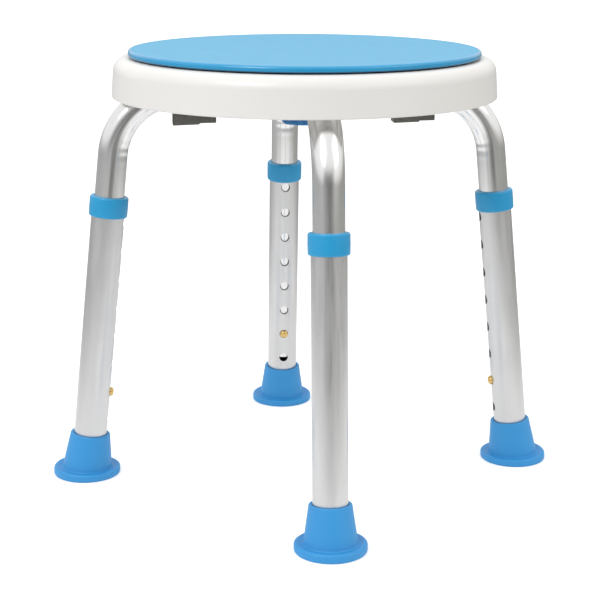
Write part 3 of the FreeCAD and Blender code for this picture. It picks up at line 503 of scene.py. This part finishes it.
def make_seat_finish():
    """The white seat moulding: satin gloss with a faint ripple, a little darker in patches underneath,
    inside the skirt.
    """
    finish, tree, shader, place = new_finish("seat_white")
    grain = use_group(tree, GRAIN, {"Place": place, "Grain Size": 2.2 * MM, "Swell Size": 26 * MM})
    base = use_group(tree, DRIFT, {"Colour": (0.825, 0.812, 0.788, 1), "Place": place,
                                   "Patch Size": 70 * MM, "Amount": 0.012})
    height = add_node(tree, "ShaderNodeSeparateXYZ", {0: place}).outputs["Z"]
    away = add_node(tree, "ShaderNodeVectorMath", {0: stretch(tree, place, (1.0, 1.0, 0.0))},
                    operation="LENGTH").outputs["Value"]
    # Darker towards a warm grey in patches, low down and inside the skirt.
    low = ramp_between(tree, height, SEAT_TOP - 4 * MM, SEAT_TOP - 14 * MM)
    inside = ramp_between(tree, away, SEAT_RADIUS - 2 * MM, SEAT_RADIUS - 6 * MM)
    darker_underneath = calculate(tree, "MULTIPLY", calculate(tree, "MULTIPLY", low, inside), base["Patches"])
    darker_underneath = calculate(tree, "MULTIPLY", darker_underneath, 0.3)
    shown = blend_colours(tree, darker_underneath, base["Colour"], (0.60, 0.585, 0.55, 1))
    level = ramp_between(tree, grain["Speckle"], 0.0, 1.0, 0.28, 0.33)
    wire(tree, shader, {"Base Color": shown, "Roughness": level,
                        "Normal": bump(tree, grain["Height"], 0.15, 0.05 * MM)})
    return finish


def tube_finish(name, colour, roughness, line_depth, spread):
    """Anodised aluminium tube with drawn lines along it and a slow change of sheen."""
    finish, tree, shader, place = new_finish(name, metallic=1.0)
    lie = add_node(tree, "ShaderNodeAttribute", attribute_name="along_tube").outputs["Vector"]
    drawn = use_group(tree, DRAWN, {"Place": lie})
    base = use_group(tree, DRIFT, {"Colour": colour, "Place": place, "Patch Size": 35 * MM,
                                   "Amount": 0.02})
    edge_masks = use_group(tree, EDGE_MASK_GROUP, {"Place": place, "Break Size": 3 * MM})
    scuffs = use_group(tree, SCUFFS, {"Place": place, "Scuff Size": 14 * MM, "Share": 0.12})["Scuffs"]
    streak = calculate(tree, "MULTIPLY", drawn["Lines"], 0.14)
    shown = blend_colours(tree, streak, base["Colour"], (0.45, 0.45, 0.46, 1))
    shown = blend_colours(tree, calculate(tree, "MULTIPLY", edge_masks["Broken Edges"], 0.4), shown,
                          (0.88, 0.88, 0.89, 1))
    level = ramp_between(tree, drawn["Bands"], 0.0, 1.0, roughness - spread, roughness + spread)
    level = calculate(tree, "ADD", level, calculate(tree, "MULTIPLY", scuffs, 0.12), clamp=True)
    wire(tree, shader, {"Base Color": shown, "Roughness": level,
                        "Normal": bump(tree, drawn["Lines"], 0.35, line_depth)})
    return finish


def metal_finish(name, colour, dull, roughness, grain_size, tarnish):
    """Plated or bare metal in small parts: a fine grain, with tarnish in patches and recesses."""
    finish, tree, shader, place = new_finish(name, metallic=1.0)
    grain = use_group(tree, GRAIN, {"Place": place, "Grain Size": grain_size, "Swell Size": 5 * MM})
    base = use_group(tree, DRIFT, {"Colour": colour, "Place": place, "Patch Size": 4 * MM,
                                   "Amount": 0.05})
    edge_masks = use_group(tree, EDGE_MASK_GROUP, {"Place": place, "Break Size": 1 * MM})
    dulled = calculate(tree, "MULTIPLY", base["Patches"], tarnish)
    dulled = calculate(tree, "ADD", dulled, calculate(tree, "MULTIPLY", edge_masks["Recess"], 0.5), clamp=True)
    shown = blend_colours(tree, dulled, base["Colour"], dull)
    level = ramp_between(tree, grain["Speckle"], 0.0, 1.0, roughness - 0.05, roughness + 0.07)
    level = calculate(tree, "ADD", level, calculate(tree, "MULTIPLY", dulled, 0.2), clamp=True)
    wire(tree, shader, {"Base Color": shown, "Roughness": level,
                        "Normal": bump(tree, grain["Height"], 0.3, 0.04 * MM)})
    return finish


DISC_BLUE = make_disc_finish()
SEAT_WHITE = make_seat_finish()
COLLAR_BLUE = moulded_finish("collar_blue", (0.016, 0.325, 0.63, 1), (0.14, 0.50, 0.80, 1), 0.33,
                             0.5 * MM, 0.05 * MM)
FOOT_BLUE = moulded_finish("foot_blue", (0.026, 0.275, 0.62, 1), (0.10, 0.38, 0.68, 1), 0.5,
                           0.7 * MM, 0.06 * MM, drift=0.015, edge_wear_and_highlight=0.4, scuffed=0.05, painted_recess_shade=0.0)
KNOB_BLUE = moulded_finish("knob_blue", (0.02, 0.17, 0.42, 1), (0.12, 0.38, 0.66, 1), 0.4,
                           0.6 * MM, 0.06 * MM, painted_recess_shade=0.0)
LEVER_GREY = moulded_finish("lever_grey", (0.115, 0.113, 0.102, 1), (0.26, 0.255, 0.235, 1), 0.46,
                            0.5 * MM, 0.07 * MM, edge_wear_and_highlight=0.5)
ACETAL = moulded_finish("acetal_white", (0.74, 0.73, 0.70, 1), (0.82, 0.81, 0.79, 1), 0.3,
                        0.8 * MM, 0.03 * MM)
POLISHED_TUBE = tube_finish("polished_tube", (0.83, 0.83, 0.825, 1), 0.2, 0.02 * MM, 0.03)
SATIN_TUBE = tube_finish("satin_tube", (0.69, 0.69, 0.69, 1), 0.36, 0.035 * MM, 0.04)
# Hole walls and arch bores: dark metal that paints the shade inside the holes and bores, with tarnish in
# patches.
SHADED_CUT_EDGE = metal_finish("cut_edge_painted_shade", (0.30, 0.30, 0.29, 1), (0.12, 0.12, 0.115, 1), 0.5, 0.2 * MM, 0.5)
BRASS = metal_finish("button_brass", (0.80, 0.56, 0.22, 1), (0.42, 0.29, 0.12, 1), 0.24, 0.3 * MM, 0.35)
ZINC = metal_finish("zinc_steel", (0.66, 0.67, 0.68, 1), (0.42, 0.42, 0.43, 1), 0.32, 0.4 * MM, 0.3)
SPRING = metal_finish("spring_strip", (0.36, 0.36, 0.38, 1), (0.17, 0.16, 0.17, 1), 0.38, 0.3 * MM, 0.5)

NODE_FINISHES = (
    (SEAT_WHITE, ["seat_shell"]),
    (ACETAL, ["swivel_bush", "glide_ring"]),
    (ZINC, ["swivel_washer", "swivel_screw", "centre_bolt", "clamp_washer"]),
    (ZINC, ["lock_shank_right", "lock_shank_left"]),
    (ZINC, [f"foot_washer_{side}" for side, turn in LEGS]),
    (BRASS, ["knob_insert"]),
    (SPRING, [f"button_clip_{side}" for side, turn in LEGS]),
    (KNOB_BLUE, ["hand_knob"]),
)


def finish_cad_nodes():
    for finish, nodes in NODE_FINISHES:
        for node in nodes:
            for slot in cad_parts[node].material_slots:
                slot.material = finish


# Turning disc


def make_disc():
    """The blue disc with its rolled rim, a recess underneath and the spigot that it turns on."""
    spigot = 10 * MM
    screw_bore = 2.5 * MM
    bore_top = DISC_BOTTOM + 2.65 * MM
    recess = DISC_BOTTOM + 1.5 * MM
    recess_start = 32 * MM
    recess_stop = 104 * MM
    face_step = 0.25 * MM
    outline = rounded_outline(
        [
            (0, bore_top, 0),
            (screw_bore, bore_top, 0),
            (screw_bore, SPIGOT_END, 0),
            (spigot, SPIGOT_END, 0.5 * MM),
            (spigot, DISC_BOTTOM, 0.4 * MM),
            (recess_start, DISC_BOTTOM, 0.4 * MM),
            (recess_start, recess, 0.5 * MM),
            (recess_stop, recess, 0.5 * MM),
            (recess_stop, DISC_BOTTOM, 0.4 * MM),
            (DISC_RADIUS, DISC_BOTTOM, 1.5 * MM),
            (DISC_RADIUS, DISC_TOP, 2.3 * MM),
            (DISC_RADIUS - 3.3 * MM, DISC_TOP, 0.15 * MM),
            (DISC_RADIUS - 3.6 * MM, DISC_TOP - face_step, 0.15 * MM),
            (0, DISC_TOP - face_step, 0),
        ]
    )
    mesh = turned("turning_disc", outline, around=192)
    add_piece("turning_disc", mesh, DISC_BLUE, "turntable", ["turntable_disc"])


# Arches


ARM_CORNER = FOOT_CIRCLE - ARM_HEIGHT * math.tan(SPLAY)
BEND_TURN = math.pi / 2 - SPLAY
BEND_TANGENT = BEND_RADIUS * math.tan(BEND_TURN / 2)
BEND_START = ARM_CORNER - BEND_TANGENT
BEND_END = ARM_HEIGHT / math.cos(SPLAY) - BEND_TANGENT
BEND_LENGTH = BEND_RADIUS * BEND_TURN
BEND_STOP = BEND_START + BEND_LENGTH
UPRIGHT_LENGTH = BEND_END - UPPER_TUBE_END


def smooth_share(value):
    value = min(max(value, 0.0), 1.0)
    return value * value * (3 - 2 * value)


def arch_spine(run):
    """Point and inward direction of an arch's centre line, at a length from the middle of the stool."""
    if run <= BEND_START:
        return Vector((run, 0, ARM_HEIGHT)), Vector((0, 0, -1))
    turn = min((run - BEND_START) / BEND_RADIUS, BEND_TURN)
    inward = Vector((-math.sin(turn), 0, -math.cos(turn)))
    spot = Vector((BEND_START, 0, ARM_HEIGHT - BEND_RADIUS)) - inward * BEND_RADIUS
    past = max(run - BEND_STOP, 0)
    return spot + Vector((math.sin(SPLAY), 0, -math.cos(SPLAY))) * past, inward


def bend_effect(run, inward_share):
    """How far the tube wall stands off round: the bend flattens it and leaves small ripples inside."""
    flat_depth = 0.35 * MM
    ripple_depth = 0.16 * MM
    ripple_pitch = 9 * MM
    into_bend = (run - BEND_START) / BEND_LENGTH
    flattening = flat_depth * math.exp(-((into_bend - 0.5) / 0.35) ** 2)
    oval = -flattening * abs(inward_share) ** 2 + flattening * 0.6 * (1 - abs(inward_share) ** 2)
    near_end = math.exp(-((into_bend - 0.93) / 0.11) ** 2)
    wave = math.cos((run - BEND_START) * 2 * math.pi / ripple_pitch)
    ripple = ripple_depth * near_end * wave * smooth_share((inward_share - 0.1) / 0.9)
    return oval + ripple


def arch_section(run, side, press, inset, around):
    """One closed section of an arch's outer or inner wall."""
    spot, inward = arch_spine(run)
    roundness = smooth_share((run - PRESS_REACH) / (ROUND_REACH - PRESS_REACH))
    half_width = PRESS_HALF_WIDTH + (TUBE_RADIUS - PRESS_HALF_WIDTH) * roundness - inset
    half_depth = PRESS_HALF_DEPTH + (TUBE_RADIUS - PRESS_HALF_DEPTH) * roundness - inset
    lift = press * (PRESS_GAP + PRESS_HALF_DEPTH) * (1 - roundness)
    points = []
    for step in range(around):
        angle = 2 * math.pi * step / around
        across, inside = math.sin(angle), math.cos(angle)
        stand = bend_effect(run, inside) if run > BEND_START else 0
        point = spot + Vector((0, half_width + stand, 0)) * across + inward * (half_depth + stand) * inside
        point.z += lift
        points.append(Vector((point.x * side, point.y, point.z)))
    return points


def evenly(start, stop, count):
    """Where each of a number of equal steps from start to stop begins."""
    return [start + (stop - start) * step / count for step in range(count)]


def arch_runs():
    """Where the sections of half an arch lie: close together where it changes shape."""
    past_bend = BEND_STOP + 16 * MM
    tube_end = BEND_STOP + UPRIGHT_LENGTH
    runs = evenly(0, PRESS_REACH, 4)
    runs += evenly(PRESS_REACH, ROUND_REACH, 14)
    runs += evenly(ROUND_REACH, BEND_START, 12)
    runs += evenly(BEND_START, BEND_STOP, 66)
    runs += evenly(BEND_STOP, past_bend, 14)
    runs += evenly(past_bend, tube_end, 44)
    return runs + [tube_end]


def arch_wall(press, inset, around, reach_past):
    """The outer or inner wall of a whole arch, a given length longer than the tube at both ends."""
    runs = arch_runs()
    runs[-1] += reach_past
    left = [arch_section(run, -1, press, inset, around) for run in reversed(runs[1:])]
    right = [arch_section(run, 1, press, inset, around) for run in runs]
    return skinned("arch_wall", left + right)


def note_tube_lines(mesh, straighten):
    """Stores, for each point, where it would lie if the tube were straight, for the drawn lines."""
    lines = mesh.attributes.new("along_tube", "FLOAT_VECTOR", "POINT")
    lines.data.foreach_set("vector", [c for point in mesh.vertices for c in straighten(point.co)])


def straighten_arch(point):
    """Unbends a point of an arch: across, inward and along its centre line."""
    out = abs(point.x)
    bend_centre = Vector((BEND_START, 0, ARM_HEIGHT - BEND_RADIUS))
    if out <= BEND_START:
        return point.y, ARM_HEIGHT - point.z, point.x
    offset = Vector((out, 0, point.z)) - bend_centre
    turn = math.atan2(offset.x, offset.z)
    if 0 <= turn < BEND_TURN:
        along = BEND_START + BEND_RADIUS * turn
        return point.y, BEND_RADIUS - offset.length, math.copysign(along, point.x)
    down = Vector((math.sin(SPLAY), 0, -math.cos(SPLAY)))
    outward = Vector((math.cos(SPLAY), 0, math.sin(SPLAY)))
    along = BEND_STOP + offset.dot(down)
    return point.y, BEND_RADIUS - offset.dot(outward), math.copysign(along, point.x)


def arch_holes(lever_holes):
    """The button hole in each upright, the bolt hole in the middle and the two lever holes."""
    below = ARM_HEIGHT - 30 * MM
    above = ARM_HEIGHT + 30 * MM
    holes = [rod(BOLT_HOLE, Vector((0, 0, below)), Vector((0, 0, above)))]
    along = FIRST_HOLE + HOLE_PITCH
    for side in (1, -1):
        start = Vector((side * (FOOT_CIRCLE - along * math.sin(SPLAY)), 0, along * math.cos(SPLAY)))
        inward = Vector((-side * math.cos(SPLAY), 0, -math.sin(SPLAY)))
        holes.append(rod(HOLE_RADIUS, start, start + inward * 2 * TUBE_RADIUS))
        if lever_holes:
            out = side * LEVER_PLACE
            holes.append(rod(BOLT_HOLE, Vector((out, 0, below)), Vector((out, 0, above))))
    return combined(holes)


def make_arch(name, node, turn, press, lever_holes):
    """A bent tube from leg to leg, pressed flat and up (1) or down (-1) where the two arches cross."""
    outer = arch_wall(press, 0, 72, 0)
    inner = arch_wall(press, TUBE_WALL, 48, 5 * MM)
    for mesh, finish in ((outer, POLISHED_TUBE), (inner, SHADED_CUT_EDGE)):
        mesh.materials.append(finish)
    tube = boolean(outer, inner, "DIFFERENCE")
    holes = arch_holes(lever_holes)
    holes.materials.append(SHADED_CUT_EDGE)
    tube = boolean(tube, holes, "DIFFERENCE")
    tube.name = name
    tube.set_sharp_from_angle(angle=CREASE)
    note_tube_lines(tube, straighten_arch)
    place = Matrix.Rotation(math.radians(turn), 4, "Z")
    add_piece(name, tube, POLISHED_TUBE, "frame", [node], place)


# Legs


def make_leg_mesh():
    """The lower tube: rolled ends and a row of holes on the side that faces the middle."""
    rings = 78
    roll = 0.35 * MM
    heights = [LEG_BOTTOM + (LEG_TOP - LEG_BOTTOM) * ring / rings for ring in range(1, rings)]
    outer = [(LEG_OUTSIDE, LEG_BOTTOM, roll)] + [(LEG_OUTSIDE, height, 0) for height in heights]
    inner = [(LEG_BORE, height, 0) for height in reversed(heights[::3])]
    corners = outer + [(LEG_OUTSIDE, LEG_TOP, roll), (LEG_BORE, LEG_TOP, roll)]
    corners += inner + [(LEG_BORE, LEG_BOTTOM, roll)]
    tube = turned("leg_tube", rounded_outline(corners, 3))
    tube.materials.append(SATIN_TUBE)
    cutters = []
    for number in range(HOLE_COUNT):
        height = FIRST_HOLE + HOLE_PITCH * number
        cutters.append(rod(HOLE_RADIUS, Vector((-5 * MM, 0, height)), Vector((-20 * MM, 0, height))))
    holes = combined(cutters)
    holes.materials.append(SHADED_CUT_EDGE)
    tube = boolean(tube, holes, "DIFFERENCE")
    tube.set_sharp_from_angle(angle=CREASE)
    note_tube_lines(tube, lambda point: (point.x, point.y, point.z))
    return tube


def make_collar_mesh():
    """The collar that closes the leg tube's end, with full round edges and a lip at the top."""
    seat = LEG_TOP + 0.05 * MM
    soft = 1.7 * MM
    outline = rounded_outline(
        [
            (COLLAR_BORE, COLLAR_BOTTOM, 0.3 * MM),
            (COLLAR_OUTSIDE - 0.15 * MM, COLLAR_BOTTOM, 1.4 * MM),
            (COLLAR_OUTSIDE, (COLLAR_BOTTOM + COLLAR_TOP) / 2, 0),
            (COLLAR_OUTSIDE - 0.1 * MM, COLLAR_TOP, soft),
            (COLLAR_LIP_BORE, COLLAR_TOP, 0.3 * MM),
            (COLLAR_LIP_BORE, seat, 0),
            (COLLAR_BORE, seat, 0),
        ],
        steps=7,
    )
    return turned("collar", outline)


def foot_spot(radius, angle, height):
    """The foot's skin: level rings on the sole, rings square to the leaning leg further up."""
    lean = smooth_share((height - SOLE_HEIGHT * 0.6) / (SOLE_HEIGHT * 1.1))
    level = straight_up(radius, angle, height)
    leaning = Matrix.Rotation(-SPLAY, 3, "Y") @ level
    return level.lerp(leaning, lean)


def make_foot_mesh():
    """The rubber foot: treaded sole, round flange, tapering sleeve with a rolled lip."""
    pocket = LEG_OUTSIDE + 0.05 * MM
    pocket_floor = 8 * MM
    tread_depth = 1.2 * MM
    tread_width = 1.8 * MM
    slope = 0.2 * MM
    corners = [(0, 0, 0)]
    for share in (0.3, 0.5, 0.7):
        start = SOLE_RADIUS * share
        stop = start + tread_width
        corners += [(start, 0, 0.2 * MM), (start + slope, tread_depth, 0.3 * MM)]
        corners += [(stop - slope, tread_depth, 0.3 * MM), (stop, 0, 0.2 * MM)]
    taper_start = 3.5 * MM
    taper = (SLEEVE_BASE - SLEEVE_TOP) / (SLEEVE_END - taper_start)
    root = SLEEVE_BASE - taper * (SOLE_HEIGHT - taper_start)
    bead = 1.1 * MM
    corners += [
        (SOLE_RADIUS, 0, 1.6 * MM),
        (SOLE_RADIUS, SOLE_HEIGHT, 1.9 * MM),
        (SOLE_RADIUS - 3.4 * MM, SOLE_HEIGHT - 0.1 * MM, 1 * MM),
        (root, SOLE_HEIGHT - 0.9 * MM, 1.3 * MM),
        (SLEEVE_TOP + taper * bead, SLEEVE_END - bead, 0.3 * MM),
        (SLEEVE_TOP, SLEEVE_END, 1.3 * MM),
        (pocket, SLEEVE_END, 1.2 * MM),
        (pocket, pocket_floor, 0.3 * MM),
        (0, pocket_floor, 0),
    ]
    return turned("foot", rounded_outline(corners), spot=foot_spot)


def make_button_mesh():
    """The round nosed button on its flange, with the shallow ring that its turning leaves."""
    tip = LEG_OUTSIDE + 3 * MM
    nose = 3.95 * MM
    flange = 5.5 * MM
    flange_front = TUBE_RADIUS - TUBE_WALL - 1.62 * MM
    flange_back = flange_front - 0.9 * MM
    outline = rounded_outline(
        [
            (0, flange_back, 0),
            (flange, flange_back, 0.2 * MM),
            (flange, flange_front, 0.2 * MM),
            (nose, flange_front, 0.2 * MM),
            (nose, tip - 0.2 * MM, 2.4 * MM),
            (1.5 * MM, tip, 0.25 * MM),
            (1.3 * MM, tip - 0.35 * MM, 0.2 * MM),
            (0, tip - 0.3 * MM, 0),
        ]
    )
    return turned("button", outline, around=48)


def make_legs():
    leg = make_leg_mesh()
    collar = make_collar_mesh()
    foot = make_foot_mesh()
    button = make_button_mesh()
    along = FIRST_HOLE + HOLE_PITCH
    aim = Matrix.Translation((0, 0, along)) @ Matrix.Rotation(-math.pi / 2, 4, "Y")
    for side, turn in LEGS:
        body = f"leg_{side}"
        leaning = leaning_at(turn)
        add_piece(f"leg_{side}_tube", leg, SATIN_TUBE, body, [f"leg_tube_{side}"], leaning)
        add_piece(f"leg_{side}_collar", collar, COLLAR_BLUE, body, [f"collar_{side}"],
                  leaning)
        add_piece(f"leg_{side}_foot", foot, FOOT_BLUE, body, [f"foot_{side}"],
                  upright_at(turn))
        add_piece(f"leg_{side}_button", button, BRASS, f"button_{side}", [f"snap_button_{side}"],
                  leaning @ aim)


# Lock levers


def lever_section(run, half_width, low, high):
    """A rounded oblong across the lever's handle, slanted so that both ends lie square to the arm."""
    corner = 0.9 * MM
    corners = [(-half_width, low), (half_width, low), (half_width, high), (-half_width, high)]
    outline = rounded_outline([(across, up, corner) for across, up in corners], 4)
    return [Vector((run + across * math.tan(LEVER_SKEW), across, up)) for across, up in outline]


def make_lever_mesh():
    """The handle: a thick root over the shank, stepping down to a thinner rounded thumb end."""
    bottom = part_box("lock_lever_right")[0].z
    # Place along the handle, half its width, and its lower and upper face above the bottom, in millimetres
    stations = (
        (-19.0, 8.6, 0.3, 8.2),
        (-18.7, 9.0, 0.0, 8.5),
        (3.6, 9.0, 0.0, 8.5),
        (5.0, 8.6, 1.0, 8.5),
        (18.5, 7.8, 0.7, 8.4),
        (19.0, 7.3, 1.1, 8.0),
    )
    sections = [
        lever_section(run * MM, wide * MM, bottom + low * MM, bottom + high * MM)
        for run, wide, low, high in stations
    ]
    handle = skinned("lever", sections, math.radians(50))
    handle.materials.append(LEVER_GREY)
    neck_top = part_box("lock_lever_right")[1].z
    neck_bottom = bottom + 4 * MM
    neck_radius = 7 * MM
    shoulder = 8.6 * MM
    neck = turned(
        "neck",
        rounded_outline(
            [
                (0, neck_bottom, 0),
                (shoulder, neck_bottom, 0),
                (shoulder, bottom + 9.3 * MM, 0.6 * MM),
                (neck_radius, bottom + 9.9 * MM, 0.5 * MM),
                (neck_radius, neck_top, 0.5 * MM),
                (0, neck_top, 0),
            ]
        ),
        around=64,
    )
    neck.materials.append(LEVER_GREY)
    lever = boolean(handle, neck, "UNION")
    shank_bore = 4.02 * MM
    bore_floor = Vector((0, 0, bottom + 2.9 * MM))
    bore = rod(shank_bore, bore_floor, bore_floor + Vector((0, 0, 30 * MM)))
    bore.materials.append(LEVER_GREY)
    lever = boolean(lever, bore, "DIFFERENCE")
    lever.shade_smooth()
    lever.set_sharp_from_angle(angle=math.radians(40))
    return lever


def make_levers():
    mesh = make_lever_mesh()
    for side, way in (("right", 1), ("left", -1)):
        place = Matrix.Translation((way * LEVER_PLACE, 0, 0)) @ Matrix.Rotation(LEVER_SKEW, 4, "Z")
        node = f"lock_lever_{side}"
        add_piece(f"lever_{side}", mesh, LEVER_GREY, node, [node], place)


# Studio


def make_floor():
    """A wide floor that looks white. The light that it throws back is dimmer away from the stool."""
    near = 0.35
    reach = 30.0
    corners = [(-reach, -reach, 0), (reach, -reach, 0), (reach, reach, 0), (-reach, reach, 0)]
    mesh = bpy.data.meshes.new("studio_floor")
    mesh.from_pydata(corners, [], [(0, 1, 2, 3)])
    finish, tree, shader, place = new_finish("floor_paper", specular=0.1)
    away = add_node(tree, "ShaderNodeVectorMath", {0: place}, operation="LENGTH").outputs["Value"]
    far = ramp_between(tree, away, near, 1.0)
    parts = add_node(tree, "ShaderNodeSeparateXYZ", {0: place}).outputs
    rightward = ramp_between(tree, parts["X"], -0.1, 0.9)
    outer = blend_colours(tree, rightward, (0.42, 0.42, 0.42, 1), (0.33, 0.33, 0.315, 1))
    bounce = blend_colours(tree, far, (0.94, 0.94, 0.94, 1), outer)
    ahead = ramp_between(tree, parts["Y"], -0.7, -1.3)
    narrow = ramp_between(tree, calculate(tree, "ABSOLUTE", parts["X"]), 0.75, 0.25)
    shade = calculate(tree, "MULTIPLY", ahead, narrow)
    bounce = blend_colours(tree, shade, bounce, (0.12, 0.12, 0.115, 1))
    base = use_group(tree, DRIFT, {"Colour": (0.93, 0.93, 0.93, 1), "Place": place,
                                   "Patch Size": 400 * MM, "Amount": 0.004})
    seen = tree.nodes.new("ShaderNodeLightPath").outputs["Is Camera Ray"]
    shown = blend_colours(tree, seen, bounce, base["Colour"])
    glow = ramp_between(tree, away, near, 0.7, FLOOR_GLOW, 0.0)
    lift = add_node(tree, "ShaderNodeMix", {0: seen, 2: glow, 3: FLOOR_LIFT}).outputs[0]
    wire(tree, shader, {"Base Color": shown, "Roughness": 0.8, "Emission Color": (1, 1, 1, 1),
                        "Emission Strength": lift})
    mesh.materials.append(finish)
    floor = bpy.data.objects.new("studio_floor", mesh)
    bpy.context.collection.objects.link(floor)


def make_surroundings():
    """Soft light from above, dimmer low down at the walls, with a dark strip behind the viewer."""
    world = bpy.data.worlds.new("studio")
    world.use_nodes = True
    bpy.context.scene.world = world
    tree = world.node_tree
    background = tree.nodes["Background"]
    way = tree.nodes.new("ShaderNodeTexCoord").outputs["Generated"]
    parts = add_node(tree, "ShaderNodeSeparateXYZ", {0: way}).outputs
    rise = ramp_between(tree, parts["Z"], -0.02, 0.2)
    wall_tint = ramp_between(tree, parts["X"], -0.8, 0.8)
    wall = blend_colours(tree, wall_tint, (0.46, 0.46, 0.485, 1), (0.52, 0.50, 0.46, 1))
    light = blend_colours(tree, rise, wall, (OVERHEAD, OVERHEAD, OVERHEAD, 1))
    level_way = add_node(tree, "ShaderNodeVectorMath", {0: stretch(tree, way, (1.0, 1.0, 0.0))},
                         operation="NORMALIZE").outputs[0]
    viewer = Vector((CAMERA_PLACE.x, CAMERA_PLACE.y, 0)).normalized()
    facing = add_node(tree, "ShaderNodeVectorMath", {0: level_way, 1: viewer},
                      operation="DOT_PRODUCT").outputs["Value"]
    strip = ramp_between(tree, facing, math.cos(math.radians(48)), math.cos(math.radians(14)))
    low = ramp_between(tree, parts["Z"], 0.5, 0.2)
    dim = calculate(tree, "MULTIPLY", calculate(tree, "MULTIPLY", strip, low), 0.75)
    light = blend_colours(tree, dim, light, (0.05, 0.05, 0.045, 1))
    seen = tree.nodes.new("ShaderNodeLightPath").outputs["Is Camera Ray"]
    shown = blend_colours(tree, seen, light, (1.0, 1.0, 1.0, 1))
    wire(tree, background, {"Color": shown, "Strength": 1.0})


def add_softbox(name, place, size, power, colour=(1.0, 1.0, 1.0)):
    """A square area light that looks at the stool, just below its seat."""
    aim = Vector((0, 0, 0.3))
    data = bpy.data.lights.new(name, "AREA")
    data.size = size
    data.energy = power
    data.color = colour
    light = bpy.data.objects.new(name, data)
    bpy.context.collection.objects.link(light)
    light.location = place
    light.rotation_euler = (aim - Vector(place)).to_track_quat("-Z", "Y").to_euler()


def make_camera():
    data = bpy.data.cameras.new("camera")
    data.lens = CAMERA_LENS
    camera = bpy.data.objects.new("camera", data)
    bpy.context.collection.objects.link(camera)
    heading = math.atan2(CAMERA_PLACE.x, -CAMERA_PLACE.y) + CAMERA_AIM_LEFT
    turn = Matrix.Rotation(heading, 4, "Z") @ Matrix.Rotation(math.pi / 2 - CAMERA_PITCH, 4, "X")
    camera.matrix_world = Matrix.Translation(CAMERA_PLACE) @ turn @ Matrix.Rotation(CAMERA_ROLL, 4, "Z")
    bpy.context.scene.camera = camera


finish_cad_nodes()
make_disc()
make_arch("arch_tube_front_rear", "arch_front_rear", turn=90, press=1, lever_holes=False)
make_arch("arch_tube_left_right", "arch_left_right", turn=0, press=-1, lever_holes=True)
make_legs()
make_levers()
make_floor()
make_surroundings()
add_softbox("key_softbox", (-1.35, -1.35, 1.95), size=1.0, power=KEY_POWER)
add_softbox("fill_softbox", (1.5, -1.0, 1.6), size=1.2, power=FILL_POWER, colour=(1.0, 0.95, 0.87))
make_camera()
bpy.context.scene.view_settings.view_transform = "Standard"
